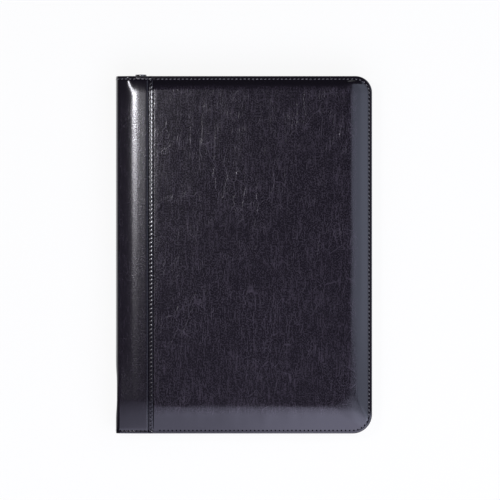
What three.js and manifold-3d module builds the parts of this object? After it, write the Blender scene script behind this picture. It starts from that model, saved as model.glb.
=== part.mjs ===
// A junior padfolio, closed and lying on its back cover, in millimetres.
// X runs from the spine to the fore-edge, Y from the foot to the head, and Z up from the table.
// The origin is on the table, under the middle of the cover.

import * as THREE from 'three'
import { mergeVertices } from 'three/addons/utils/BufferGeometryUtils.js'
import Module from 'manifold-3d'

const wasm = await Module()
wasm.setup()

// Writing pad, 5 by 8 inches, and the cover that is cut to it
const padWidth = 127
const padHeight = 203.2
const padForeMargin = 6
const padEndMargin = 12.7
const gutterWidth = 31
const coverWidth = gutterWidth + padWidth + padForeMargin
const coverHeight = padHeight + 2 * padEndMargin

// Cover
const foreCornerRadius = 11.5
const spineCornerRadius = 1.2
const leather = 0.9
const hemWidth = 3.6
const hemRound = 0.4
const foreCornerSteps = 9
const spineCornerSteps = 3
const leastCorner = 0.6
const seamFromSpine = 24.1
const seamFlange = 4.2
const liningStep = 2.2
const paddingSlope = 11.9
const seamSlope = 8

// Boards, foam and linings
const backBoardThickness = 2
const frontBoardThickness = 1.2
const boardInset = 6.6
const liningThickness = 0.6
const liningInset = 3
const foamRise = 2.5
const layerGap = 0.2
const seat = 0.3
const closeGap = 0.1
const cutPast = 1

// Spine strip, folded at two creases
const creaseGap = 0.3
const gutterLiningThickness = 0.5
const gutterLiningInset = 2.4
const spineArcSteps = 8
const stripRiseSteps = 8
const stripFlatStart = 0.5

// Layers of the writing pad
const backingThickness = 0.8
const paperThickness = 6
const topSheetThickness = 0.3
const tapeThickness = 0.3
const tapeDepth = 13
const padHeadroom = 1.1

// Pad pocket on the back cover
const padPocketSkin = 0.6
const padPocketWall = 1.5
const padPocketMargin = 2.4
const padPocketDrop = 29.6
const paperStepClearance = 2

// Pockets inside the front cover
const cardPocketDepth = 1
const cardPocketSkin = 0.6
const cardPocketWall = 2
const cardPocketWidth = 96
const cardPocketLift = 14.3
const upperCardPocketHeight = 62
const lowerCardPocketHeight = 38
const pocketColumnFromFore = 70
const filePocketDepth = 1.1
const filePocketSkin = 0.6
const filePocketWall = 1.6
const filePocketInset = 4.5
const filePocketDrop = 28.3
const filePocketSlant = 26
const idFrameDepth = 0.8
const idFrameHeight = 66
const idFrameGap = 12
const idFrameBorder = 6
const idRebate = 3
const idRebateDepth = 0.4
const idWindowThickness = 0.3

// Pen and its loop
const penFromSpine = 15.9
const penRadius = 4.8
const penBore = 3.5
const penShow = 1.4
const penLength = 138
const noseLength = 11
const noseTipRadius = 1.7
const noseBore = 1.35
const noseFloor = 5
const noseShoulder = 1
const centreRingFromTop = 69.7
const centreRingLength = 2.4
const centreRingProud = 0.15
const plungerRadius = 3.6
const plungerShow = 7
const plungerStemRadius = 2.6
const plungerStemLength = 13
const plungerTravel = 4.5
const crownLength = 6
const crownTopRadius = 4.3
const crownBand = 1.2
const crownFloor = 1
const plungerEase = 0.5
const camRadius = 3
const camLength = 5.5
const refillRadius = 1.9
const refillTipRadius = 0.9
const refillTipLength = 9
const refillTaper = 2.5
const ballRadius = 0.35
const springRadius = 2.75
const springLength = 16
const clipWidth = 3.2
const clipThickness = 0.8
const clipLength = 38
const clipStand = 1.7
const clipBall = 3
const clipRoot = 4
const loopFromTop = 80.7
const loopLength = 30
const loopThickness = 0.8
const loopClearance = 0.45
const loopTabWidth = 6
const runningGap = 0.3

// Levels that follow from the stack of layers
const halfWidth = coverWidth / 2
const halfHeight = coverHeight / 2
const seamX = seamFromSpine - halfWidth
const padPocketTop = padHeight / 2 - padPocketDrop
const filePocketTop = halfHeight - filePocketDrop
const cardPocketFoot = cardPocketLift - halfHeight
const pocketColumnX = halfWidth - pocketColumnFromFore
const idFrameFoot = cardPocketFoot + upperCardPocketHeight + idFrameGap
const backLiningBottom = leather + backBoardThickness
const backInside = backLiningBottom + liningThickness
const tapeBottom = backInside + seat
const backingBottom = tapeBottom + tapeThickness
const backingTop = backingBottom + backingThickness
const padPocketUnder = backingTop + seat
const padPocketFace = padPocketUnder + padPocketSkin
const paperBottom = padPocketFace + seat
const paperTop = paperBottom + paperThickness
const topSheetTop = paperTop + topSheetThickness
const tapeTop = topSheetTop + tapeThickness
const lowerCardFace = tapeTop + padHeadroom
const upperCardFace = lowerCardFace + cardPocketDepth
const filePocketFace = upperCardFace + cardPocketDepth
const frontInside = filePocketFace + filePocketDepth
const frontBoardBottom = frontInside + liningThickness
const frontBoardTop = frontBoardBottom + frontBoardThickness
const thickness = frontBoardTop + foamRise + leather
const flangeTop = frontBoardBottom + 2 * leather

// Spine round
const spineRadius = thickness / 2
const spineCentreX = spineRadius - halfWidth
const spineCentreZ = thickness / 2
const seamStripTop = flangeTop + seat + leather

// Pen place
const penX = penFromSpine - halfWidth
const loopInner = penRadius + loopClearance
const loopOuter = loopInner + loopThickness
const gutterFloor = leather + layerGap + gutterLiningThickness
const penZ = gutterFloor + seat + loopOuter
const penTop = halfHeight + penShow
const penTip = penTop - penLength
const centreRingAt = penTop - centreRingFromTop
const loopFoot = penTop - loopFromTop
const barrelFoot = penTip + noseLength
const crownFoot = penTop - plungerShow - crownLength

const blackLeather = new THREE.MeshStandardMaterial({ color: '#1d1b21', roughness: 0.32, metalness: 0 })
const innerLeather = new THREE.MeshStandardMaterial({ color: '#232126', roughness: 0.6, metalness: 0 })
const liningCloth = new THREE.MeshStandardMaterial({ color: '#18171a', roughness: 0.9, metalness: 0 })
const greyboard = new THREE.MeshStandardMaterial({ color: '#8b8378', roughness: 0.95, metalness: 0 })
const foam = new THREE.MeshStandardMaterial({ color: '#d9d4c4', roughness: 1, metalness: 0 })
const paper = new THREE.MeshStandardMaterial({ color: '#f2efe4', roughness: 0.9, metalness: 0 })
const chipboard = new THREE.MeshStandardMaterial({ color: '#a2937c', roughness: 0.95, metalness: 0 })
const tape = new THREE.MeshStandardMaterial({ color: '#26292e', roughness: 0.7, metalness: 0 })
const clearVinyl = new THREE.MeshStandardMaterial({ color: '#dfe6ea', roughness: 0.15, metalness: 0 })
const elastic = new THREE.MeshStandardMaterial({ color: '#141316', roughness: 0.95, metalness: 0 })
const lacquer = new THREE.MeshStandardMaterial({ color: '#16161a', roughness: 0.2, metalness: 0.1 })
const chrome = new THREE.MeshStandardMaterial({ color: '#b9bcc0', roughness: 0.22, metalness: 1 })
const brass = new THREE.MeshStandardMaterial({ color: '#b3924c', roughness: 0.35, metalness: 1 })
const moulding = new THREE.MeshStandardMaterial({ color: '#e4e4e2', roughness: 0.5, metalness: 0 })

// Keeps the positions alone, joins shared points and turns the faces outward.
function closed(geometry) {
  const bare = new THREE.BufferGeometry()
  bare.setAttribute('position', geometry.getAttribute('position'))
  if (geometry.index) bare.setIndex(geometry.index)
  const merged = mergeVertices(bare, 1e-4)
  const at = merged.getAttribute('position')
  const index = merged.index.array
  const faces = []
  let volume = 0
  const [a, b, c] = [new THREE.Vector3(), new THREE.Vector3(), new THREE.Vector3()]
  for (let i = 0; i < index.length; i += 3) {
    const [p, q, r] = [index[i], index[i + 1], index[i + 2]]
    if (p === q || q === r || r === p) continue
    a.fromBufferAttribute(at, p)
    b.fromBufferAttribute(at, q)
    c.fromBufferAttribute(at, r)
    volume += a.dot(b.cross(c))
    faces.push([p, q, r])
  }
  merged.setIndex(faces.flatMap(([p, q, r]) => (volume < 0 ? [p, r, q] : [p, q, r])))
  merged.computeVertexNormals()
  return merged
}

function toManifold(geometry) {
  const mesh = closed(geometry)
  const vertProperties = new Float32Array(mesh.getAttribute('position').array)
  const triVerts = new Uint32Array(mesh.index.array)
  return new wasm.Manifold(new wasm.Mesh({ numProp: 3, vertProperties, triVerts }))
}

function fromManifold(body) {
  const mesh = body.getMesh()
  const geometry = new THREE.BufferGeometry()
  geometry.setAttribute('position', new THREE.BufferAttribute(new Float32Array(mesh.vertProperties), 3))
  geometry.setIndex([...mesh.triVerts])
  return geometry
}

function cut(geometry, ...tools) {
  return fromManifold(tools.reduce((body, tool) => body.subtract(toManifold(tool)), toManifold(geometry)))
}

function join(geometry, ...others) {
  return fromManifold(others.reduce((body, other) => body.add(toManifold(other)), toManifold(geometry)))
}

// A closed outline with small corners at the spine side and larger ones at the fore-edge.
function outline({ x0, x1, y0, y1, spineRound = spineCornerRadius, foreRound = foreCornerRadius }) {
  const spineCorner = { x: x0 + spineRound, round: spineRound, steps: spineCornerSteps }
  const foreCorner = { x: x1 - foreRound, round: foreRound, steps: foreCornerSteps }
  const corners = [
    { ...spineCorner, y: y0 + spineRound, from: Math.PI },
    { ...foreCorner, y: y0 + foreRound, from: 1.5 * Math.PI },
    { ...foreCorner, y: y1 - foreRound, from: 0 },
    { ...spineCorner, y: y1 - spineRound, from: 0.5 * Math.PI }
  ]
  return corners.flatMap(({ x, y, round, from, steps }) =>
    Array.from({ length: steps + 1 }, (_, i) => {
      const angle = from + (i / steps) * (Math.PI / 2)
      return [x + round * Math.cos(angle), y + round * Math.sin(angle)]
    })
  )
}

// The cover's outline drawn in by an inset on three sides, with its own spine-side edge.
function coverOutline(inset, spineEdge) {
  return outline({
    x0: spineEdge,
    x1: halfWidth - inset,
    y0: inset - halfHeight,
    y1: halfHeight - inset,
    foreRound: Math.max(foreCornerRadius - inset, leastCorner)
  })
}

// Joins rings of equal point count, and closes the first and the last with a fan.
function loft(rings) {
  const count = rings[0].points.length
  const positions = rings.flatMap(({ points, z }) => points.flatMap(([x, y]) => [x, y, z]))
  const index = []
  for (let k = 0; k + 1 < rings.length; k++) {
    for (let i = 0; i < count; i++) {
      const [a, b] = [k * count + i, k * count + ((i + 1) % count)]
      index.push(a, b, b + count, a, b + count, a + count)
    }
  }
  const ends = [
    { ring: 0, flip: true },
    { ring: rings.length - 1, flip: false }
  ]
  for (const { ring, flip } of ends) {
    const { points, z } = rings[ring]
    const centre = points.reduce(([sx, sy], [x, y]) => [sx + x / count, sy + y / count], [0, 0])
    const hub = positions.length / 3
    positions.push(...centre, z)
    for (let i = 0; i < count; i++) {
      const [a, b] = [ring * count + i, ring * count + ((i + 1) % count)]
      index.push(...(flip ? [hub, b, a] : [hub, a, b]))
    }
  }
  const geometry = new THREE.BufferGeometry()
  geometry.setAttribute('position', new THREE.Float32BufferAttribute(positions, 3))
  geometry.setIndex(index)
  return geometry
}

function plate(points, bottom, top) {
  return loft([
    { points, z: bottom },
    { points, z: top }
  ])
}

function box(x0, x1, y0, y1, z0, z1) {
  const geometry = new THREE.BoxGeometry(x1 - x0, y1 - y0, z1 - z0)
  return geometry.translate((x0 + x1) / 2, (y0 + y1) / 2, (z0 + z1) / 2)
}

// Extrudes a section given as [x, z] points along Y.
function prism(points, y0, y1) {
  const shape = new THREE.Shape(points.map(([x, z]) => new THREE.Vector2(x, z)))
  const geometry = new THREE.ExtrudeGeometry(shape, { depth: y1 - y0, bevelEnabled: false })
  return geometry.rotateX(Math.PI / 2).translate(0, y1, 0)
}

// The line at a set distance on the right-hand side of a path of [x, z] points.
function offsetLine(path, distance) {
  return path.map(([x, z], i) => {
    const [ax, az] = path[Math.max(i - 1, 0)]
    const [bx, bz] = path[Math.min(i + 1, path.length - 1)]
    const length = Math.hypot(bx - ax, bz - az)
    return [x + (distance * (bz - az)) / length, z - (distance * (bx - ax)) / length]
  })
}

// A sheet of one thickness along a path of [x, z] points.
function ribbon(path, sheet, y0, y1) {
  return prism([...path, ...offsetLine(path, sheet).reverse()], y0, y1)
}

function ringSection(outer, inner, y0, y1) {
  return [
    [inner, y0],
    [outer, y0],
    [outer, y1],
    [inner, y1],
    [inner, y0]
  ]
}

// Turns a closed [radius, y] section around the pen's axis.
function turned(section, steps = 20) {
  return new THREE.LatheGeometry(
    section.map(([r, y]) => new THREE.Vector2(r, y)),
    steps
  )
}

// A sewn pocket: a skin with walls on three sides, open at the head, seated on a flat lining.
function pocket({ x0, x1, y0, y1, slant = 0 }, seatZ, faceZ, skin, wall) {
  const up = Math.sign(faceZ - seatZ)
  const sheet = [
    [x0, y0],
    [x1, y0],
    [x1, y1 - slant],
    [x0, y1]
  ]
  const body = plate(sheet, Math.min(seatZ, faceZ), Math.max(seatZ, faceZ))
  const hollow = [seatZ - up * cutPast, faceZ - up * skin].sort((a, b) => a - b)
  return cut(body, box(x0 + wall, x1 - wall, y0 + wall, y1 + cutPast, ...hollow))
}

function arcPath(radius, fromDegrees, toDegrees) {
  return Array.from({ length: spineArcSteps + 1 }, (_, i) => {
    const angle = THREE.MathUtils.degToRad(fromDegrees + ((toDegrees - fromDegrees) * i) / spineArcSteps)
    return [spineCentreX + radius * Math.cos(angle), spineCentreZ + radius * Math.sin(angle)]
  })
}

// The outer face of the strip from the front seam to the top of the spine round.
function stripRise(steps) {
  return Array.from({ length: steps }, (_, i) => {
    const t = i / steps
    const ease = t * t * (3 - 2 * t)
    return [seamX + (spineCentreX - seamX) * t, seamStripTop + (thickness - seamStripTop) * ease]
  })
}

// How far the padded face has dropped at a share of the slope: 0 on the field, 1 at the stitches.
const slopeRows = [0, 0.2, 0.4, 0.6, 0.8, 0.93]

function slopeDrop(share) {
  return 0.5 - 0.5 * Math.cos(Math.PI * share)
}

// Rings of a padded layer, from its field out to the stitches, a set depth under the leather's face.
function paddedRings(depth, rimZ, spineShift) {
  return slopeRows.map((share) => ({
    points: coverOutline(
      hemWidth + paddingSlope * (1 - share),
      seamX + spineShift + seamSlope * (1 - share)
    ),
    z: thickness - depth - (thickness - rimZ) * slopeDrop(share)
  }))
}

const part = new THREE.Group()
const backCover = new THREE.Group()
const spine = new THREE.Group()
const frontCover = new THREE.Group()
const writingPad = new THREE.Group()
const pen = new THREE.Group()
part.add(backCover, spine, frontCover, writingPad, pen)
pen.position.set(penX, 0, penZ)

function add(group, name, geometry, material) {
  const mesh = new THREE.Mesh(closed(geometry), material)
  mesh.name = name
  group.add(mesh)
  return mesh
}

// Back cover
function makeBackCover() {
  const flangeEdge = seamX - seamFlange
  const flangeBottom = leather + layerGap
  const panelEdge = seamX + seat
  const hemEdge = panelEdge + hemWidth / 2
  const rings = [
    [foreCornerRadius, panelEdge + foreCornerRadius, 0],
    [2 * hemRound, panelEdge, 0],
    [0, panelEdge, 2 * hemRound],
    [0, panelEdge, flangeBottom - closeGap],
    [0, flangeEdge, flangeBottom],
    [0, flangeEdge, flangeBottom + leather],
    [0, panelEdge - 2 * seat, flangeBottom + leather + closeGap],
    [hemRound, panelEdge, backLiningBottom],
    [hemWidth, hemEdge, backLiningBottom],
    [hemWidth + layerGap, hemEdge + layerGap, leather]
  ]
  const shell = loft(rings.map(([inset, edge, z]) => ({ points: coverOutline(inset, edge), z })))
  add(backCover, 'back_leather', shell, blackLeather)

  const boardOutline = coverOutline(boardInset, panelEdge + boardInset - hemWidth)
  add(backCover, 'back_board', plate(boardOutline, leather, backLiningBottom), greyboard)

  const liningOutline = coverOutline(liningInset, panelEdge)
  add(backCover, 'back_lining', plate(liningOutline, backLiningBottom, backInside), liningCloth)
}

// Strip and gutter lining, each in three sections that meet at the two creases
function makeSpine() {
  const creaseDegrees = THREE.MathUtils.radToDeg(creaseGap / 2 / spineRadius)
  const tail = [
    [seamX, 0],
    [spineCentreX + stripFlatStart, 0]
  ]
  const backPath = [...tail, ...arcPath(spineRadius, 270, 225 + creaseDegrees)]
  const spinePath = arcPath(spineRadius, 225 - creaseDegrees, 135 + creaseDegrees)
  const frontArc = arcPath(spineRadius, 135 - creaseDegrees, 90)
  const frontPath = [...frontArc, ...stripRise(stripRiseSteps).reverse()]
  const [y0, y1] = [-halfHeight, halfHeight]
  add(backCover, 'spine_strip_back', ribbon(backPath, leather, y0, y1), blackLeather)
  add(spine, 'spine_strip_middle', ribbon(spinePath, leather, y0, y1), blackLeather)
  add(frontCover, 'spine_strip_front', ribbon(frontPath, leather, y0, y1), blackLeather)

  const under = leather + layerGap
  const liningRadius = spineRadius - under
  const flangeEdge = seamX - seamFlange
  const backLine = [
    [seamX, backLiningBottom + layerGap],
    [seamX - seamFlange / 2, under + leather + layerGap + closeGap],
    [flangeEdge - seat, under + leather + layerGap],
    [flangeEdge - liningStep, under],
    [spineCentreX, under]
  ]
  const frontLine = [
    [spineCentreX, thickness - under],
    [spineCentreX + stripFlatStart, thickness - under - closeGap],
    [flangeEdge - liningStep, frontBoardBottom + frontBoardThickness],
    [flangeEdge + hemRound, frontBoardBottom - layerGap],
    [seamX, frontBoardBottom - layerGap]
  ]
  const [l0, l1] = [gutterLiningInset - halfHeight, halfHeight - gutterLiningInset]
  const backLining = [...backLine, ...arcPath(liningRadius, 270, 225 + creaseDegrees).slice(1)]
  const middleLining = arcPath(liningRadius, 225 - creaseDegrees, 135 + creaseDegrees)
  const frontLining = [...arcPath(liningRadius, 135 - creaseDegrees, 90).slice(0, -1), ...frontLine]
  add(backCover, 'gutter_lining_back', ribbon(backLining, gutterLiningThickness, l0, l1), liningCloth)
  add(spine, 'gutter_lining_middle', ribbon(middleLining, gutterLiningThickness, l0, l1), liningCloth)
  add(frontCover, 'gutter_lining_front', ribbon(frontLining, gutterLiningThickness, l0, l1), liningCloth)
}

// Front cover: padded leather over foam, board and lining
function makeFrontCover() {
  const face = paddedRings(0, flangeTop, 0)
  const underside = paddedRings(leather, flangeTop, leastCorner).reverse()
  const rim = [
    [hemRound, seamX - seamFlange + hemRound, flangeTop],
    [0, seamX - seamFlange, flangeTop - hemRound],
    [0, seamX - seamFlange, frontBoardBottom + hemRound],
    [hemRound, seamX - seamFlange + hemRound, frontBoardBottom],
    [hemWidth - hemRound, seamX + hemRound, frontBoardBottom]
  ].map(([inset, edge, z]) => ({ points: coverOutline(inset, edge), z }))
  add(frontCover, 'front_leather', loft([...face, ...rim, ...underside]), blackLeather)

  const boardShift = boardInset - hemWidth + leastCorner
  const foamLayer = paddedRings(leather + layerGap, flangeTop, boardShift)
  const foamRings = foamLayer.filter(({ z }) => z > frontBoardTop + layerGap)
  const foamBase = { points: foamRings.at(-1).points, z: frontBoardTop }
  add(frontCover, 'front_foam', loft([...foamRings, foamBase]), foam)

  const boardOutline = coverOutline(boardInset, seamX + boardShift)
  add(frontCover, 'front_board', plate(boardOutline, frontBoardBottom, frontBoardTop), greyboard)

  const liningOutline = coverOutline(liningInset, seamX + seat)
  add(frontCover, 'front_lining', plate(liningOutline, frontInside, frontBoardBottom), liningCloth)
}

function makeFrontPockets() {
  const filePocket = {
    x0: seamX + filePocketInset,
    x1: halfWidth - filePocketInset,
    y0: filePocketInset - halfHeight,
    y1: filePocketTop,
    slant: filePocketSlant
  }
  const file = pocket(filePocket, frontInside, filePocketFace, filePocketSkin, filePocketWall)
  add(frontCover, 'file_pocket', file, innerLeather)

  const cardColumn = {
    x0: pocketColumnX - cardPocketWidth / 2,
    x1: pocketColumnX + cardPocketWidth / 2,
    y0: cardPocketFoot
  }
  const cardPocket = (height, seatZ) => {
    const sheet = { ...cardColumn, y1: cardPocketFoot + height }
    return pocket(sheet, seatZ, seatZ - cardPocketDepth, cardPocketSkin, cardPocketWall)
  }
  add(frontCover, 'card_pocket_upper', cardPocket(upperCardPocketHeight, filePocketFace), innerLeather)
  add(frontCover, 'card_pocket_lower', cardPocket(lowerCardPocketHeight, upperCardFace), innerLeather)

  const { x0, x1 } = cardColumn
  const [y0, y1] = [idFrameFoot, idFrameFoot + idFrameHeight]
  const face = filePocketFace - idFrameDepth
  const sight = idFrameBorder
  const rest = idFrameBorder - idRebate
  const rebateFloor = filePocketFace - idRebateDepth
  const frame = cut(
    box(x0, x1, y0, y1, face, filePocketFace),
    box(x0 + sight, x1 - sight, y0 + sight, y1 - sight, face - cutPast, filePocketFace + cutPast),
    box(x0 + rest, x1 - rest, y0 + rest, y1 - rest, rebateFloor, filePocketFace + cutPast)
  )
  add(frontCover, 'id_pocket_frame', frame, innerLeather)
  const edge = rest + runningGap
  const windowTop = filePocketFace - (idRebateDepth - idWindowThickness) / 2
  const pane = box(x0 + edge, x1 - edge, y0 + edge, y1 - edge, windowTop - idWindowThickness, windowTop)
  add(frontCover, 'id_window', pane, clearVinyl)
}

// Writing pad, its backing board tucked under the pocket panel
function makeWritingPad() {
  const x1 = halfWidth - padForeMargin
  const x0 = x1 - padWidth
  const [y0, y1] = [-padHeight / 2, padHeight / 2]

  const panel = { x0: x0 - padPocketMargin - padPocketWall, x1: x1 + padPocketMargin, y1: padPocketTop }
  const pocketFoot = y0 - padPocketMargin - padPocketWall
  const padPocket = pocket(
    { ...panel, y0: pocketFoot },
    backInside,
    padPocketFace,
    padPocketSkin,
    padPocketWall
  )
  add(backCover, 'pad_pocket', padPocket, innerLeather)

  add(writingPad, 'pad_backing', box(x0, x1, y0, y1, backingBottom, backingTop), chipboard)
  const step = box(x0, x1, padPocketTop + paperStepClearance, y1, backingTop, paperBottom)
  const block = join(box(x0, x1, y0, y1, paperBottom, paperTop), step)
  add(writingPad, 'pad_paper', block, paper)
  add(writingPad, 'pad_top_sheet', box(x0, x1, y0, y1, paperTop, topSheetTop), paper)
  const outside = box(x0, x1, y1 - tapeDepth, y1 + tapeThickness, tapeBottom, tapeTop)
  const tapeFoot = y1 - tapeDepth - cutPast
  const inside = box(x0 - cutPast, x1 + cutPast, tapeFoot, y1, backingBottom, topSheetTop)
  add(writingPad, 'pad_binding_tape', cut(outside, inside), tape)
}

// Elastic loop sewn to the gutter, with the pen in it
function makePenLoop() {
  const ring = turned(ringSection(loopOuter, loopInner, loopFoot, loopFoot + loopLength), 24)
  const tabBottom = gutterFloor + runningGap / 2
  const tabTop = penZ - loopInner - loopThickness / 2
  const tab = box(-loopTabWidth / 2, loopTabWidth / 2, loopFoot, loopFoot + loopLength, tabBottom, tabTop)
  const tabX = seamX - seamFlange - liningStep - seat - loopTabWidth / 2
  const loop = join(ring.translate(penX, 0, penZ), tab.translate(tabX, 0, 0))
  add(backCover, 'pen_loop', loop, elastic)
}

function makePen() {
  const seatY = barrelFoot
  const ringTop = centreRingAt + centreRingLength
  const nose = [
    [noseBore, penTip],
    [noseTipRadius, penTip],
    [penRadius - noseShoulder / 4, seatY - noseShoulder],
    [penRadius, seatY],
    [springRadius + runningGap, seatY],
    [springRadius + runningGap, penTip + noseFloor],
    [noseBore, penTip + noseFloor],
    [noseBore, penTip]
  ]
  add(pen, 'pen_nose_cone', turned(nose), chrome)
  add(pen, 'pen_lower_barrel', turned(ringSection(penRadius, penBore, seatY, centreRingAt)), lacquer)
  const band = ringSection(penRadius + centreRingProud, penBore, centreRingAt, ringTop)
  add(pen, 'pen_centre_ring', turned(band), chrome)
  add(pen, 'pen_upper_barrel', turned(ringSection(penRadius, penBore, ringTop, crownFoot)), lacquer)
  const crown = [
    [plungerStemRadius + runningGap, crownFoot],
    [penRadius, crownFoot],
    [penRadius, crownFoot + crownBand],
    [crownTopRadius, crownFoot + crownLength],
    [plungerRadius + runningGap, crownFoot + crownLength],
    [plungerRadius + runningGap, crownFoot + crownFloor],
    [plungerStemRadius + runningGap, crownFoot + crownFloor],
    [plungerStemRadius + runningGap, crownFoot]
  ]
  add(pen, 'pen_crown', turned(crown), chrome)

  const clipTop = crownFoot - runningGap
  const clipFoot = clipTop - clipLength
  const clipBase = penRadius + runningGap / 2
  const clipFace = clipBase + clipStand
  const clipSection = [
    [clipTop, clipBase],
    [clipTop, clipFace + clipThickness],
    [clipFoot + clipBall, clipFace + clipThickness - seat],
    [clipFoot, clipFace + clipThickness],
    [clipFoot, clipFace],
    [clipFoot + clipBall, clipBase + layerGap],
    [clipFoot + 2 * clipBall, clipFace - seat],
    [clipTop - clipRoot, clipFace],
    [clipTop - clipRoot, clipBase]
  ]
  const clipShape = new THREE.Shape(clipSection.map(([y, z]) => new THREE.Vector2(y, z)))
  const clip = new THREE.ExtrudeGeometry(clipShape, { depth: clipWidth, bevelEnabled: false })
  const lengthwise = new THREE.Matrix4().makeBasis(
    new THREE.Vector3(0, 1, 0),
    new THREE.Vector3(0, 0, 1),
    new THREE.Vector3(1, 0, 0)
  )
  add(pen, 'pen_clip', clip.applyMatrix4(lengthwise).translate(-clipWidth / 2, 0, 0), chrome)

  const springFoot = penTip + noseFloor + runningGap
  const spring = ringSection(springRadius, refillRadius + runningGap, springFoot, springFoot + springLength)
  add(pen, 'pen_spring', turned(spring), chrome)
}

// The plunger pushes the cam, and the cam pushes the refill.
function makePenClick() {
  const shoulder = crownFoot + crownFloor + plungerTravel + 2 * runningGap
  const stemFoot = shoulder - plungerStemLength
  const plunger = [
    [0, stemFoot],
    [plungerStemRadius, stemFoot],
    [plungerStemRadius, shoulder],
    [plungerRadius, shoulder],
    [plungerRadius, penTop - plungerEase],
    [plungerRadius - plungerEase, penTop],
    [0, penTop]
  ]
  add(pen, 'pen_plunger', turned(plunger), chrome)

  const camTop = stemFoot - runningGap
  const camFoot = camTop - camLength
  const cam = [
    [0, camFoot],
    [camRadius - plungerEase, camFoot],
    [camRadius, camFoot + 2 * plungerEase],
    [camRadius, camTop],
    [0, camTop]
  ]
  add(pen, 'pen_cam', turned(cam), moulding)

  const refillTop = camFoot - runningGap
  const neck = penTip + noseFloor + plungerTravel + 4 * runningGap
  const refill = [
    [0, neck],
    [refillRadius, neck],
    [refillRadius, refillTop],
    [0, refillTop]
  ]
  add(pen, 'pen_refill', turned(refill, 16), moulding)
  const point = neck - refillTipLength
  const tip = [
    [0, point],
    [ballRadius, point],
    [refillTipRadius, point + refillTaper],
    [refillTipRadius, neck],
    [0, neck]
  ]
  add(pen, 'pen_refill_tip', turned(tip, 16), brass)
}

makeBackCover()
makeSpine()
makeFrontCover()
makeFrontPockets()
makeWritingPad()
makePenLoop()
makePen()
makePenClick()

export default part
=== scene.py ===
"""The looks of a junior padfolio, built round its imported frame.

Lengths are millimetres until an object is made, X runs from the spine to the fore-edge, Y from the foot to
the head and Z up from the table.
"""

from __future__ import annotations

import logging
import math
from dataclasses import dataclass, field, replace
from enum import Enum
from functools import cached_property
from typing import Sequence

import bmesh
import bpy
import numpy as np
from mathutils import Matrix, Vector, noise

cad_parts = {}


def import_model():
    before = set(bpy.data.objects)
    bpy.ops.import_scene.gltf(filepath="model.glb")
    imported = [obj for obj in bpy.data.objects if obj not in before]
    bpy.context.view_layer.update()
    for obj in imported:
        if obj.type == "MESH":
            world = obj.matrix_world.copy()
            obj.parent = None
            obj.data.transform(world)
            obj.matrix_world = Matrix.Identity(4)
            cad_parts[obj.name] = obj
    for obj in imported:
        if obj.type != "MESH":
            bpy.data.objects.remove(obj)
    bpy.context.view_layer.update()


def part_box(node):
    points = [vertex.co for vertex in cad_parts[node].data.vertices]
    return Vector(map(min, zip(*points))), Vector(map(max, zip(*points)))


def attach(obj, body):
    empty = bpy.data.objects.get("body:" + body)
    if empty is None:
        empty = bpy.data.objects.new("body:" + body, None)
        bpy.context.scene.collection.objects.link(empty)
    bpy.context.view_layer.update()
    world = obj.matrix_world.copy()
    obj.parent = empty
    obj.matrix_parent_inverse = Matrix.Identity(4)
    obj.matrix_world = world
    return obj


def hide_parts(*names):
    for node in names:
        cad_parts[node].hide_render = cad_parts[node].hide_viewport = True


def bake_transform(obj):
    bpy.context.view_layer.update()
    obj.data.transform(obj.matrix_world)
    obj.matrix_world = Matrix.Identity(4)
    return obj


MM = 0.001
TURN = 2 * math.pi
LOG = logging.getLogger("padfolio")
EDGE_STEPS = [0.0, 0.12, 0.3, 0.55, 0.9, 1.3, 1.65, 1.95, 2.25, 2.6, 3.1, 3.7]
LIP_STEPS = [-3.0, -2.0, -1.0, -0.4, -0.1, 0.0, 0.07, 0.14, 0.22, 0.32, 0.45, 0.62, 0.85, 1.15, 1.6, 2.2]
SEAM_STEPS = np.array(
    [0, 0.08, 0.2, 0.35, 0.55, 0.8, 1.05, 1.3, 1.55, 1.8, 2.1, 2.4, 2.6, 2.8, 3.0, 3.15, 3.3, 3.5, 3.75, 4.1]
)

Colour = tuple[float, float, float]
Point = tuple[float, float, float]


class Body(str, Enum):
    """The moving bodies of the frame."""

    BACK = "back_cover"
    SPINE = "spine"
    FRONT = "front_cover"
    PAD = "writing_pad"
    PEN = "pen"
    PLUNGER = "plunger"


class Space(Enum):
    """Where a finish takes its pattern's coordinates from."""

    OBJECT = "Object"
    SURFACE = "UV"


@dataclass(frozen=True)
class Box:
    """A box at rest, in millimetres."""

    low: np.ndarray
    high: np.ndarray

    @classmethod
    def of(cls, node: str) -> Box:
        """Reads the box of one CAD node."""
        low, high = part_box(node)
        return cls(np.array(low) / MM, np.array(high) / MM)


# Shader maths


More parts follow.
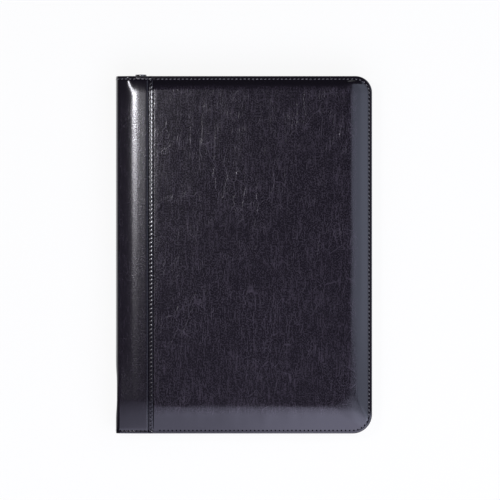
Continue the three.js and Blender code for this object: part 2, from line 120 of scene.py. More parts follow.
class Value:
    """A shader socket that carries a number or a vector, with arithmetic that adds Math nodes."""

    def __init__(self, nodes: Nodes, socket: bpy.types.NodeSocket) -> None:
        """Wraps one output socket of a material's nodes."""
        self.nodes = nodes
        self.socket = socket

    def _math(self, operation: str, *values: Value | float) -> Value:
        """Adds one Math node."""
        return self.nodes.add("ShaderNodeMath", {"operation": operation}, *values)

    def __add__(self, other: Value | float) -> Value:
        """Sum."""
        return self._math("ADD", self, other)

    def __radd__(self, other: float) -> Value:
        """Sum, reflected."""
        return self._math("ADD", other, self)

    def __sub__(self, other: Value | float) -> Value:
        """Difference."""
        return self._math("SUBTRACT", self, other)

    def __rsub__(self, other: float) -> Value:
        """Difference, reflected."""
        return self._math("SUBTRACT", other, self)

    def __mul__(self, other: Value | float) -> Value:
        """Product."""
        return self._math("MULTIPLY", self, other)

    def __rmul__(self, other: float) -> Value:
        """Product, reflected."""
        return self._math("MULTIPLY", other, self)

    def most(self, other: Value | float) -> Value:
        """The larger of two values."""
        return self._math("MAXIMUM", self, other)

    def wave(self) -> Value:
        """The sine of the value."""
        return self._math("SINE", self)

    def swing(self) -> Value:
        """The sine of the value, drawn in to between 0 and 1."""
        return self.wave() * 0.5 + 0.5

    def part(self) -> Value:
        """What is left after the whole number is taken away."""
        return self._math("FRACT", self)

    def between(self, low: float, high: float) -> Value:
        """A smooth step that is 0 at low and 1 at high."""
        settings = {"interpolation_type": "SMOOTHSTEP"}
        return self.nodes.add("ShaderNodeMapRange", settings, self, low, high, 0.0, 1.0)

    def parts(self) -> list[Value]:
        """The x, y and z of a vector."""
        split = self.nodes.add("ShaderNodeSeparateXYZ", None, self)
        return [Value(self.nodes, output) for output in split.socket.node.outputs]

    def shift(self, amount: Value) -> Value:
        """A vector with a number added along every axis."""
        return self.nodes.add("ShaderNodeVectorMath", {"operation": "ADD"}, self, amount)


class Nodes:
    """The node tree of one material, with one method that adds any node."""

    def __init__(self, name: str) -> None:
        """Makes a material with an empty tree.

        Args:
            name: the material's name.
        """
        self.material = bpy.data.materials.new(name)
        self.material.use_nodes = True
        self.tree = self.material.node_tree
        self.tree.nodes.clear()

    def add(
        self,
        kind: str,
        settings: dict[str, object] | None = None,
        *values: object,
        out: int | str = 0,
        **named: object,
    ) -> Value | None:
        """Adds a node.

        Args:
            kind: the node's type.
            settings: what is set on the node first.
            values: numbers, colours or links of its inputs, in order; None leaves one as it is.
            out: the output to return.
            named: inputs by name, with an underscore for each space.

        Returns:
            The chosen output, or None from a node that has no outputs.
        """
        node = self.tree.nodes.new(kind)
        for key, value in (settings or {}).items():
            setattr(node, key, value)
        for index, value in enumerate(values):
            self._feed(node.inputs[index], value)
        for key, value in named.items():
            self._feed(node.inputs[key.replace("_", " ")], value)
        return Value(self, node.outputs[out]) if node.outputs else None

    def _feed(self, socket: bpy.types.NodeSocket, value: object) -> None:
        """Links or sets one input.

        Args:
            socket: the input.
            value: a link, or a number or colour that is set; None leaves the input as it is.
        """
        if isinstance(value, Value):
            self.tree.links.new(value.socket, socket)
        elif value is not None:
            socket.default_value = (*value, 1.0) if socket.type == "RGBA" else value

    def place(self, space: Space, scale: Point = (1.0, 1.0, 1.0)) -> Value:
        """Coordinates in millimetres, times a scale along each axis.

        Args:
            space: where they are taken from.
            scale: the scale along each axis.

        Returns:
            The coordinates.
        """
        source = self.add("ShaderNodeTexCoord", None, out=space.value)
        stretch = tuple(s / MM for s in scale)
        return self.add("ShaderNodeVectorMath", {"operation": "MULTIPLY"}, source, stretch)

    def grain(self, vector: Value, scale: float, detail: float = 3.0) -> Value:
        """Soft noise from 0 to 1."""
        return self.add("ShaderNodeTexNoise", None, vector, Scale=scale, Detail=detail, Roughness=0.6)

    def cells(self, vector: Value, scale: float) -> Value:
        """The distance to the nearest edge of a net of cells."""
        settings = {"feature": "DISTANCE_TO_EDGE"}
        return self.add("ShaderNodeTexVoronoi", settings, vector, Scale=scale)

    def mix(self, share: Value, first: Value | Colour, second: Value | Colour) -> Value:
        """A colour between two, whose sockets are the node's seventh and eighth."""
        colours = (None, None, None, None, None, first, second)
        return self.add("ShaderNodeMix", {"data_type": "RGBA"}, share, *colours, out=2)

    def finish(
        self,
        share: Value,
        colours: tuple[Value | Colour, Value | Colour],
        roughness: Value,
        relief: Value,
        depth: float,
        strength: float = 1.0,
        **more: object,
    ) -> bpy.types.Material:
        """Ends the tree in a Principled shader.

        Args:
            share: how much of the second colour shows.
            colours: the two colours.
            roughness: the roughness.
            relief: the height of the surface's detail.
            depth: the depth of that detail in millimetres.
            strength: how strongly it bends the light.
            more: other inputs by name, with an underscore for each space.

        Returns:
            The material.
        """
        bump = self.add("ShaderNodeBump", None, Strength=strength, Distance=depth * MM, Height=relief)
        colour = self.mix(share, *colours)
        inputs = {"Base_Color": colour, "Roughness": roughness, "Normal": bump, **more}
        self.add("ShaderNodeOutputMaterial", None, self.add("ShaderNodeBsdfPrincipled", None, **inputs))
        return self.material


# Finishes


@dataclass(frozen=True)
class Finish:
    """What every finish has: a name, the record's slot that it belongs to and its material."""

    name: str
    slot: str
    space: Space = Space.OBJECT

    @cached_property
    def material(self) -> bpy.types.Material:
        """The material, built on its first use."""
        n = Nodes(self.name)
        return self.dress(n, n.place(self.space))

    def dress(self, n: Nodes, at: Value) -> bpy.types.Material:
        """Fills the material's tree.

        Args:
            n: the material's nodes.
            at: the place on the surface, in millimetres.

        Returns:
            The material.
        """
        raise NotImplementedError


@dataclass(frozen=True)
class GlazedLeather(Finish):
    """Black glazed leather; the point attribute grain sets how strongly its wrinkles and their painted
    glints show.
    """

    dark: Colour = (0.0045, 0.0028, 0.0062)
    # light: the paler colour of the creases, streaks, grit and folds, a painted highlight that stands in for
    # their glints
    light: Colour = (0.0575, 0.0465, 0.0645)
    shine: float = 0.14
    pebble: float = 0.02
    wrinkle_depth: float = 0.3
    crossing: float = 0.0
    crease_scale: Point = (0.62, 0.13, 0.62)
    streak_scale: Point = (0.95, 0.11, 0.95)
    grit_scale: Point = (1.5, 1.0, 1.5)
    fold_scale: Point = (0.13, 0.055, 0.13)
    crossing_scale: Point = (0.5, 1.25, 0.5)

    def dress(self, n: Nodes, at: Value) -> bpy.types.Material:
        """Lays broken creases, streaks, grit and a few long folds over a polished face, and paints them
        paler as their glints.

        Args:
            n: the material's nodes.
            at: the place on the surface, in millimetres.

        Returns:
            The material.
        """
        warp = n.grain(at, 0.1, 2.0) * 0.7
        net = n.place(self.space, self.crease_scale).shift(warp)
        breaks = n.grain(at, 0.16, 3.0).between(0.44, 0.66)
        creases = (1.0 - n.cells(net, 1.0).between(0.0, 0.09)) * breaks
        streaks = n.grain(n.place(self.space, self.streak_scale).shift(warp), 1.0).between(0.48, 0.7)
        grit = n.grain(n.place(self.space, self.grit_scale), 1.0, 2.0).between(0.4, 0.64)
        bent = n.place(self.space, self.fold_scale).shift(n.grain(at, 0.06, 3.0) * 1.4)
        folds = (1.0 - n.cells(bent, 1.0).between(0.0, 0.03)) * n.grain(at, 0.035).between(0.5, 0.58)
        shown = n.add("ShaderNodeAttribute", {"attribute_name": "grain"}, out="Fac")
        amount = shown * (0.78 + 0.22 * n.grain(at, 0.05, 3.0).between(0.32, 0.62))
        # Painted highlight: the wrinkles' share of the paler colour stands in for their glints, and fades
        # with the grain attribute as their relief does
        wrinkles = (creases * 0.36 + streaks * 0.3 + grit * 0.34 + folds * 0.4) * amount
        relief = (creases * 0.045 + streaks * 0.02 + grit * 0.014 + folds * 0.058) * amount
        across = n.grain(n.place(self.space, self.crossing_scale), 1.0, 2.0) * self.crossing
        pores = n.grain(at, 1.3, 2.0) * (self.pebble * shown + 0.005)
        return n.finish(
            wrinkles,
            (self.dark, self.light),
            self.shine + 0.075 * grit * amount,
            relief + across * shown + pores,
            self.wrinkle_depth,
            Specular_IOR_Level=0.62,
            Specular_Tint=(0.92, 0.92, 1.0),
        )


@dataclass(frozen=True)
class Leatherette(Finish):
    """Matt inner leather with a fine pebble."""

    base: Colour = (0.014, 0.013, 0.016)
    # the paler colour: real wear in the rubbed patches, and painted light on the crowns of the pebble
    wear_and_pebble_sheen: Colour = (0.040, 0.038, 0.042)
    pebble: float = 1.1
    gloss: float = 0.5

    def dress(self, n: Nodes, at: Value) -> bpy.types.Material:
        """Lays rounded cells with painted shade in the grooves between them, rubbed paler in patches.

        Args:
            n: the material's nodes.
            at: the place on the surface, in millimetres.

        Returns:
            The material.
        """
        cells = n.cells(at.shift(n.grain(at, 0.5) * 0.8), self.pebble).between(0.0, 0.3)
        wear = n.grain(at, 0.06).between(0.4, 0.75)
        relief = cells * 0.6 + n.grain(at, 4.0) * 0.25
        # Painted light: the cells' crowns take the paler colour and the grooves between them the darker one;
        # the patches are real wear
        share = wear * 0.5 + 0.4 * cells
        rough = 0.44 + 0.12 * wear
        return n.finish(share, (self.base, self.wear_and_pebble_sheen), rough, relief, 0.15, Specular_IOR_Level=self.gloss)


@dataclass(frozen=True)
class WovenLining(Finish):
    """Black twill lining cloth."""

    space: Space = Space.SURFACE
    base: Colour = (0.010, 0.010, 0.013)
    thread: Colour = (0.030, 0.030, 0.035)
    threads_per_mm: float = 1.7

    def dress(self, n: Nodes, at: Value) -> bpy.types.Material:
        """Crosses the weft with the slant of the twill, the raised threads painted paler and the grooves
        darker.

        Args:
            n: the material's nodes.
            at: the place on the surface, in millimetres.

        Returns:
            The material.
        """
        turn = TURN * self.threads_per_mm
        across, along, _ = at.parts()
        twill = ((across + along) * (turn / 2)).swing()
        relief = (across * turn).swing() * 0.45 + twill * 0.55
        # Painted light: the colour follows the weave's relief, paler on the raised threads and darker
        # between them
        share = relief * 0.7 + n.grain(at, 0.9) * 0.3
        return n.finish(share, (self.base, self.thread), 0.86 - 0.1 * twill, relief, 0.06, 0.8)


@dataclass(frozen=True)
class Thread(Finish):
    """Waxed sewing thread, laid with a twist."""

    base: Colour = (0.085, 0.082, 0.090)
    # the paler colour, painted on the plies' crowns as their sheen
    light: Colour = (0.27, 0.265, 0.28)
    gloss: float = 0.5
    twist: Point = (7.0, 7.0, 3.0)

    def dress(self, n: Nodes, at: Value) -> bpy.types.Material:
        """Winds slanted plies with a little fuzz, with the plies' crowns painted paler as their sheen.

        Args:
            n: the material's nodes.
            at: the place on the surface, in millimetres.

        Returns:
            The material.
        """
        dot = {"operation": "DOT_PRODUCT"}
        ply = n.add("ShaderNodeVectorMath", dot, at, self.twist, out="Value").swing()
        fuzz = n.grain(at, 5.0)
        # Painted highlight: the paler colour follows the plies' relief, lighter on their crowns and darker
        # in the grooves between them
        share, rough = ply * 0.7 + fuzz * 0.3, 0.24 + 0.12 * fuzz
        return n.finish(share, (self.base, self.light), rough, ply, 0.04, Specular_IOR_Level=self.gloss)


@dataclass(frozen=True)
class Elastic(Finish):
    """Ribbed elastic webbing."""

    space: Space = Space.SURFACE
    base: Colour = (0.008, 0.008, 0.009)
    rib: Colour = (0.032, 0.031, 0.034)

    def dress(self, n: Nodes, at: Value) -> bpy.types.Material:
        """Crosses broad ribs with finer threads, the raised ribs painted paler than the grooves.

        Args:
            n: the material's nodes.
            at: the place on the surface, in millimetres.

        Returns:
            The material.
        """
        across, along, _ = at.parts()
        cross = (across * 9.0).swing()
        relief = (along * 5.2).swing() * 0.7 + cross * 0.3
        # Painted light: the colour follows the ribs' relief, paler on the crowns and darker in the grooves
        return n.finish(relief, (self.base, self.rib), 0.8 + 0.1 * cross, relief, 0.12)


@dataclass(frozen=True)
class Board(Finish):
    """Raw pressed board with flecks of fibre."""

    base: Colour = (0.30, 0.27, 0.23)
    fleck: Colour = (0.17, 0.15, 0.12)

    def dress(self, n: Nodes, at: Value) -> bpy.types.Material:
        """Strews flecks over long fibres.

        Args:
            n: the material's nodes.
            at: the place on the surface, in millimetres.

        Returns:
            The material.
        """
        fibre = n.grain(n.place(self.space, (0.5, 2.6, 2.6)), 1.0, 5.0)
        share = n.grain(at, 1.6, 5.0).between(0.56, 0.7) * 0.6 + fibre * 0.25
        return n.finish(share, (self.base, self.fleck), 0.9 - 0.08 * fibre, fibre, 0.06)


@dataclass(frozen=True)
class Padding(Finish):
    """Open-cell foam."""

    base: Colour = (0.70, 0.66, 0.54)
    cell: Colour = (0.46, 0.42, 0.32)

    def dress(self, n: Nodes, at: Value) -> bpy.types.Material:
        """Sinks the cells between their walls and paints them darker: painted shade in the cells."""
        cells = n.cells(at, 1.3).between(0.0, 0.28)
        # Painted shade: the sunk cells take the darker colour
        return n.finish(cells, (self.base, self.cell), 0.95 - 0.05 * cells, 1.0 - cells, 0.25)


@dataclass(frozen=True)
class PageBlock(Finish):
    """Uncoated pages: flat faces, and edges that show the stack of sheets."""

    base: Colour = (0.84, 0.81, 0.71)
    shade: Colour = (0.70, 0.67, 0.58)
    sheets_per_mm: float = 8.0

    def dress(self, n: Nodes, at: Value) -> bpy.types.Material:
        """Draws the sheets on the faces that stand upright.

        Args:
            n: the material's nodes.
            at: the place on the surface, in millimetres.

        Returns:
            The material.
        """
        ragged = n.grain(n.place(self.space, (0.05, 0.05, 5.0)), 1.0, 4.0)
        stack = (at.parts()[2] * (TURN * self.sheets_per_mm / 4) + ragged * 6.0).swing()
        facing = n.add("ShaderNodeNewGeometry", None, out="Normal").parts()[2]
        edge = 1.0 - facing.most(0.0).between(0.3, 0.7)
        tooth = n.grain(at, 3.0, 4.0)
        share, relief = (stack * 0.7 + ragged * 0.3) * edge, stack * edge + tooth * 0.15
        return n.finish(share, (self.base, self.shade), 0.86 + 0.06 * tooth, relief, 0.08)


@dataclass(frozen=True)
class RuledPage(Finish):
    """The top sheet, with pale blue rules and a double red margin."""

    base: Colour = (0.86, 0.83, 0.73)
    rule: Colour = (0.30, 0.45, 0.62)
    margin: Colour = (0.66, 0.22, 0.22)
    pitch: float = 7.1
    line: float = 0.28
    margin_at: float = -27.0
    margin_gap: float = 1.8
    first_rule: float = 84.0
    foot_rule: float = -94.0

    def dress(self, n: Nodes, at: Value) -> bpy.types.Material:
        """Draws the rules across the page and the margin down it.

        Args:
            n: the material's nodes.
            at: the place on the surface, in millimetres.

        Returns:
            The material.
        """
        across, along, _ = at.parts()
        phase = ((along - self.foot_rule) * (1.0 / self.pitch)).part()
        soft, width = 0.35 * self.line / self.pitch, self.line / self.pitch
        rules = phase.between(0.0, soft) * (1.0 - phase.between(width, width + soft))
        inside = along.between(self.foot_rule - 1.0, self.foot_rule - 0.5)
        below = 1.0 - along.between(self.first_rule, self.first_rule + 0.5)
        lines = n.mix(rules * inside * below * 0.8, self.base, self.rule)
        bars = self._bar(across, self.margin_at) + self._bar(across, self.margin_at + self.margin_gap)
        tooth = n.grain(at, 3.0, 4.0)
        return n.finish(bars * 0.75, (lines, self.margin), 0.84 + 0.08 * tooth, tooth, 0.012)

    def _bar(self, across: Value, left: float) -> Value:
        """One upright margin line.

        Args:
            across: the places across the page.
            left: where its left edge lies.

        Returns:
            1 on the line and 0 beside it.
        """
        fade = 0.1
        end = 1.0 - across.between(left + self.line, left + self.line + fade)
        return across.between(left, left + fade) * end


@dataclass(frozen=True)
class GummedTape(Finish):
    """Cloth-finish binding tape."""

    base: Colour = (0.014, 0.015, 0.019)
    weave_sheen_and_wear: Colour = (0.040, 0.042, 0.050)

    def dress(self, n: Nodes, at: Value) -> bpy.types.Material:
        """Weaves a plain net, painted paler on its raised threads, and rubs it paler in patches.

        Args:
            n: the material's nodes.
            at: the place on the surface, in millimetres.

        Returns:
            The material.
        """
        across, along, _ = at.parts()
        net = (across * 8.0).wave() * (along * 8.0).wave() * 0.5 + 0.5
        # Painted light on the weave's raised threads, and real wear in the rubbed patches
        share = net * 0.5 + n.grain(at, 0.2).between(0.5, 0.8) * 0.4
        return n.finish(share, (self.base, self.weave_sheen_and_wear), 0.62 + 0.12 * net, net, 0.04)


@dataclass(frozen=True)
class ClearSheet(Finish):
    """Clear flexible vinyl with a slight ripple."""

    tint: Colour = (0.26, 0.27, 0.28)
    scuff: Colour = (0.5, 0.51, 0.53)

    def dress(self, n: Nodes, at: Value) -> bpy.types.Material:
        """Scuffs the sheet along the way that cards slide.

        Args:
            n: the material's nodes.
            at: the place on the surface, in millimetres.

        Returns:
            The material.
        """
        scuffs = n.grain(n.place(self.space, (2.0, 0.3, 1.0)), 1.0, 4.0).between(0.62, 0.75)
        colours, rough = (self.tint, self.scuff), 0.08 + 0.25 * scuffs
        inputs = {"Alpha": 0.13 + 0.15 * scuffs, "Specular_IOR_Level": 1.0}
        return n.finish(scuffs * 0.5, colours, rough, n.grain(at, 0.07, 1.0), 0.5, 0.4, **inputs)


@dataclass(frozen=True)
class Lacquer(Finish):
    """Polished black lacquer with faint handling marks."""

    base: Colour = (0.007, 0.007, 0.009)
    scratch: Colour = (0.03, 0.03, 0.034)

    def dress(self, n: Nodes, at: Value) -> bpy.types.Material:
        """Draws smears and fine scratches along the barrel.

        Args:
            n: the material's nodes.
            at: the place on the surface, in millimetres.

        Returns:
            The material.
        """
        smears = n.grain(n.place(self.space, (0.4, 0.12, 0.4)), 1.0, 4.0)
        scratches = n.grain(n.place(self.space, (6.0, 0.5, 6.0)), 1.0, 2.0).between(0.6, 0.8)
        colours, rough = (self.base, self.scratch), 0.1 + 0.12 * smears + 0.1 * scratches
        return n.finish(scratches * 0.5, colours, rough, n.grain(at, 0.3), 0.01, Coat_Weight=0.5)


@dataclass(frozen=True)
class Plate(Finish):
    """Metal, plated or turned, with fine marks round its axis."""

    base: Colour = (0.56, 0.57, 0.60)
    dull: Colour = (0.40, 0.41, 0.43)
    shine: float = 0.16
    marks: float = 0.004

    def dress(self, n: Nodes, at: Value) -> bpy.types.Material:
        """Draws the turning marks and smears.

        Args:
            n: the material's nodes.
            at: the place on the surface, in millimetres.

        Returns:
            The material.
        """
        turning = n.grain(n.place(self.space, (0.3, 9.0, 0.3)), 1.0, 3.0)
        smears = n.grain(n.place(self.space, (0.5, 0.5, 0.5)), 1.0, 4.0)
        rough = self.shine + 0.1 * smears + 0.05 * turning
        return n.finish(smears * 0.5, (self.base, self.dull), rough, turning, self.marks, Metallic=1.0)


@dataclass(frozen=True)
class Moulding(Finish):
    """Pale moulded plastic."""

    base: Colour = (0.70, 0.70, 0.67)
    shade: Colour = (0.60, 0.60, 0.58)

    def dress(self, n: Nodes, at: Value) -> bpy.types.Material:
        """Shows the plastic's flow faintly."""
        flow = n.grain(at, 0.4, 3.0)
        return n.finish(flow, (self.base, self.shade), 0.4 + 0.1 * flow, flow, 0.02)


@dataclass(frozen=True)
class TableTop(Finish):
    """The pale floor: white to the camera and to what reflects it, with the object's soft shadow on it."""

    paint: Colour = (0.93, 0.93, 0.93)
    speck: Colour = (0.88, 0.88, 0.88)
    glow: float = 0.9

    def dress(self, n: Nodes, at: Value) -> bpy.types.Material:
        """Mixes matt paint with plain white for the rays that look at the floor.

        Args:
            n: the material's nodes.
            at: the place on the surface, in millimetres.

        Returns:
            The material.
        """
        rays = n.add("ShaderNodeLightPath").socket.node.outputs
        kinds = ("Is Camera Ray", "Is Glossy Ray", "Is Transmission Ray")
        camera, glossy, through = (Value(n, rays[kind]) for kind in kinds)
        seen = camera.most(glossy).most(through)
        matt = n.add("ShaderNodeBsdfDiffuse", None, n.mix(n.grain(at, 0.3) * 0.05, self.paint, self.speck))
        white = n.add("ShaderNodeEmission", None, (1.0, 1.0, 1.0), 1.0)
        both = n.add("ShaderNodeMixShader", None, seen * self.glow, matt, white)
        n.add("ShaderNodeOutputMaterial", None, both)
        return n.material


class Finishes:
    """Every finish of the object."""

    def __init__(self) -> None:
        """Names the finishes and gives each its record slot."""
        skin = "cover_leather"
        dark, sheen = (0.012, 0.011, 0.014), (0.042, 0.040, 0.045)
        black, coal = (0.003, 0.003, 0.004), (0.006, 0.006, 0.007)
        self.leather = GlazedLeather("glazed_leather", skin)
        self.strip_leather = GlazedLeather(
            "strip_leather", skin, Space.SURFACE, shine=0.15, pebble=0.11, crossing=0.14
        )
        self.inner = Leatherette("inner_leatherette", "inner_leather")
        self.lining = WovenLining("twill_lining", "lining")
        self.thread = Thread("waxed_thread", skin)
        self.inner_thread = Thread("inner_thread", "inner_leather")
        self.seam_thread = Thread("seam_thread", skin, base=dark, light=sheen, gloss=1.0)
        # Black discs of painted shade at the needle holes
        self.holes = Leatherette("needle_holes", skin, base=black, wear_and_pebble_sheen=coal, gloss=0.04)
        self.elastic = Elastic("ribbed_elastic", "elastic")
        self.greyboard = Board("raw_greyboard", "greyboard")
        brown, umber = (0.40, 0.32, 0.22), (0.24, 0.18, 0.11)
        self.chipboard = Board("raw_chipboard", "chipboard", base=brown, fleck=umber)
        self.foam = Padding("open_foam", "foam")
        self.pages = PageBlock("page_block", "paper")
        self.ruled = RuledPage("ruled_page", "ruled_paper")
        self.tape = GummedTape("binding_cloth", "binding_tape")
        self.vinyl = ClearSheet("clear_sheet", "clear_vinyl")
        self.lacquer = Lacquer("black_lacquer", "pen_lacquer")
        self.plate = Plate("polished_plate", "pen_metal")
        self.dark_plate = Plate("smoked_plate", "pen_metal", base=(0.13, 0.13, 0.14), dull=(0.09, 0.09, 0.1))
        self.steel = Plate("drawn_wire", "spring_steel", shine=0.28)
        self.brass = Plate("turned_brass", "refill_brass", base=(0.55, 0.36, 0.12), dull=(0.40, 0.25, 0.08))
        self.moulding = Moulding("pale_moulding", "cam_moulding")
        self.tube = Moulding("refill_plastic", "refill_tube", base=(0.60, 0.62, 0.66))
        self.table = TableTop("table_top", "none")


# Meshes


class MeshWriter:
    """Collects points and faces in millimetres, with a grain value and a surface place for each point."""

    def __init__(self) -> None:
        """Starts empty."""
        self.points: list[np.ndarray] = []
        self.faces: list[list[int]] = []
        self.grains: list[np.ndarray] = []
        self.places: list[np.ndarray] = []
        self.count = 0

    def put(
        self, points: np.ndarray, grain: float | np.ndarray = 0.0, place: np.ndarray | None = None
    ) -> np.ndarray:
        """Adds points.

        Args:
            points: an array whose last axis is x, y, z.
            grain: how strongly the leather's wrinkles show there.
            place: the surface coordinates in millimetres; x and y where left out.

        Returns:
            The points' numbers, in the shape of the array.
        """
        shape = points.shape[:-1]
        flat = points.reshape(-1, 3)
        self.points.append(flat)
        self.grains.append(np.broadcast_to(grain, shape).reshape(-1))
        self.places.append((flat[:, :2] if place is None else place.reshape(-1, 2)))
        numbers = np.arange(self.count, self.count + len(flat)).reshape(shape)
        self.count += len(flat)
        return numbers

    def quads(self, numbers: np.ndarray, wrap: bool = False) -> None:
        """Joins a grid of point numbers with four-sided faces.

        Args:
            numbers: rows and columns of point numbers.
            wrap: joins the last column to the first.
        """
        left = numbers if wrap else numbers[:, :-1]
        right = np.roll(numbers, -1, axis=1) if wrap else numbers[:, 1:]
        loops = np.stack([left[:-1], right[:-1], right[1:], left[1:]], axis=-1)
        self.faces += loops.reshape(-1, 4).tolist()

    def tube(self, rings: np.ndarray, place: np.ndarray | None = None) -> None:
        """Adds a tube with a flat face at each end.

        Args:
            rings: rows of points, each running once round.
            place: the surface coordinates in millimetres.
        """
        numbers = self.put(rings, 0.0, place)
        self.quads(numbers, wrap=True)
        self.faces += numbers[[0, -1]].tolist()

    def build(self, name: str, finish: Finish) -> bpy.types.Object:
        """Makes the object, smooth shaded and with all its faces turned outward.

        Args:
            name: the object's name.
            finish: its finish.

        Returns:
            The object.
        """
        mesh = bpy.data.meshes.new(name)
        mesh.from_pydata((np.concatenate(self.points) * MM).tolist(), [], self.faces)
        shell = bmesh.new()
        shell.from_mesh(mesh)
        bmesh.ops.recalc_face_normals(shell, faces=shell.faces)
        shell.to_mesh(mesh)
        shell.free()
        mesh.polygons.foreach_set("use_smooth", np.ones(len(mesh.polygons), bool))
        grain = mesh.attributes.new("grain", "FLOAT", "POINT")
        grain.data.foreach_set("value", np.concatenate(self.grains).astype(np.float32))
        corners = np.zeros(len(mesh.loops), np.int32)
        mesh.loops.foreach_get("vertex_index", corners)
        uv = mesh.uv_layers.new(name="surface")
        uv.data.foreach_set("uv", (np.concatenate(self.places)[corners] * MM).astype(np.float32).ravel())
        mesh.update()
        mesh.validate()
        mesh.materials.append(finish.material)
        piece = bpy.data.objects.new(name, mesh)
        bpy.context.scene.collection.objects.link(piece)
        return piece

    def ride(self, name: str, finish: Finish, body: Body, *nodes: str) -> bpy.types.Object:
        """Makes the object and rides it on a body.

        Args:
            name: the object's name.
            finish: its finish.
            body: the body that it moves with.
            nodes: the CAD nodes that it stands for.

        Returns:
            The object.
        """
        piece = self.build(name, finish)
        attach(piece, body.value)
        if nodes:
            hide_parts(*nodes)
        LOG.info("%s rides on %s", name, body.value)
        return piece


def dress_node(node: str, finish: Finish) -> None:
    """Gives a CAD node that stays as it is its material.

    Args:
        node: the node's name.
        finish: its finish.
    """
    piece = bpy.data.objects[node]
    piece.data.materials.clear()
    piece.data.materials.append(finish.material)
    LOG.info("%s keeps its shape with finish %s", node, finish.name)


def smooth_step(value: np.ndarray) -> np.ndarray:
    """A smooth step from 0 to 1."""
    t = np.clip(value, 0.0, 1.0)
    return t * t * (3 - 2 * t)


def bell(value: np.ndarray, middle: float, width: float, power: int = 2) -> np.ndarray:
    """A bump of height 1 round the middle."""
    return np.exp(-(((value - middle) / width) ** power))


def unit(vectors: np.ndarray) -> np.ndarray:
    """Vectors drawn to length 1."""
    return vectors / np.linalg.norm(vectors, axis=-1, keepdims=True)


def spaced(start: float, end: float, step: float, borders: Sequence[float]) -> np.ndarray:
    """Places from start to end, close together at both ends.

    Args:
        start: the first place.
        end: the last place.
        step: the largest step, in the middle.
        borders: distances from each end that have a place of their own, the first being 0.

    Returns:
        The places, rising.
    """
    low = [start + b for b in borders]
    high = [end - b for b in reversed(borders)]
    steps = max(1, math.ceil((high[0] - low[-1]) / step))
    middle = np.linspace(low[-1], high[0], steps + 1)[1:-1]
    return np.concatenate([low, middle, high])


def arc(centre: Sequence[float], radius: float, start: float, end: float, count: int) -> np.ndarray:
    """Points on a circle.

    Args:
        centre: its middle.
        radius: its radius.
        start: the first point's angle in degrees.
        end: the last point's angle in degrees.
        count: how many points there are.

    Returns:
        The points, in the plane of the centre.
    """
    angle = np.radians(np.linspace(start, end, count))
    return np.stack([centre[0] + radius * np.cos(angle), centre[1] + radius * np.sin(angle)], axis=1)


def edge_share(distance: np.ndarray, radius: float) -> np.ndarray:
    """How much of a sheet's thickness is left at a distance from its rounded edge."""
    t = np.clip(1 - distance / radius, 0.0, 1.0)
    return np.sqrt(np.maximum(1 - t * t, 0.0025))


def normals_of(path: np.ndarray) -> np.ndarray:
    """The left-hand normals of a path in a plane."""
    tangent = unit(np.gradient(path, axis=0))
    return np.stack([-tangent[:, 1], tangent[:, 0]], axis=1)


def lengths_of(path: np.ndarray) -> np.ndarray:
    """The distance along a path at each of its points."""
    steps = np.linalg.norm(np.diff(path, axis=0), axis=1)
    return np.concatenate([[0.0], np.cumsum(steps)])


def sample(values: np.ndarray, reach: np.ndarray, marks: np.ndarray | float) -> np.ndarray:
    """Reads values between the points of a path.

    Args:
        values: a row for each point.
        reach: the distance along the path at each point.
        marks: the distances to read at.

    Returns:
        A row for each mark.
    """
    return np.stack([np.interp(marks, reach, column) for column in values.T], axis=-1)


def smooth_line(points: Sequence[Sequence[float]]) -> np.ndarray:
    """Draws a smooth line through a few points in a plane.

    Args:
        points: the points to pass near.

    Returns:
        The line's points, with the same two ends.
    """
    given = np.array(points)
    reach = lengths_of(given)
    line = sample(given, reach, np.linspace(0, reach[-1], 24))
    kernel = np.array([1, 2, 3, 2, 1]) / 9
    padded = np.pad(line, ((2, 2), (0, 0)), mode="edge")
    soft = np.stack([np.convolve(column, kernel, "valid") for column in padded.T], axis=1)
    soft[0], soft[-1] = line[0], line[-1]
    return soft


def sweep(path: np.ndarray, places: np.ndarray, axis: int = 1) -> tuple[np.ndarray, np.ndarray, np.ndarray]:
    """Carries a path straight along one axis.

    Args:
        path: points in the plane across that axis.
        places: the places along the axis.
        axis: 1 for y, with a path of x and z, or 0 for x, with a path of y and z.

    Returns:
        The grid of points, its normals and its surface coordinates.
    """
    plane = [1 - axis, 2]
    points = np.zeros((len(path), len(places), 3))
    points[..., plane] = path[:, None, :]
    points[..., axis] = places
    normal = np.zeros_like(points)
    normal[..., plane] = normals_of(path)[:, None, :]
    surface = np.stack(np.broadcast_arrays(lengths_of(path)[:, None], places), axis=-1)
    return points, normal, surface


def slab(
    writer: MeshWriter,
    middle: np.ndarray,
    normal: np.ndarray,
    thickness: np.ndarray | float,
    grain: float | np.ndarray = 0.0,
    place: np.ndarray | None = None,
) -> None:
    """Adds a closed sheet round a middle surface.

    Args:
        writer: where the mesh goes.
        middle: a grid of points.
        normal: the direction of the outer face at each point.
        thickness: the full thickness at each point.
        grain: how strongly the leather's wrinkles show on the outer face.
        place: the surface coordinates in millimetres.
    """
    half = np.broadcast_to(np.asarray(thickness, float), middle.shape[:-1])[..., None] / 2
    outer = writer.put(middle + normal * half, grain, place)
    inner = writer.put(middle - normal * half, 0.0, place)
    writer.quads(outer)
    writer.quads(inner)
    for edge in (0, -1):
        writer.quads(np.stack([outer[edge], inner[edge]]))
        writer.quads(np.stack([outer[:, edge], inner[:, edge]]))


@dataclass(frozen=True)
class StitchStyle:
    """The size of one stitch and of the dark disc of painted shade at the needle hole after it."""

    pitch: float = 2.64
    length: float = 1.75
    width: float = 0.58
    height: float = 0.42
    sink: float = 0.05
    slant: float = 0.12
    hole: float = 0.46
    rings: int = 6
    sides: int = 6


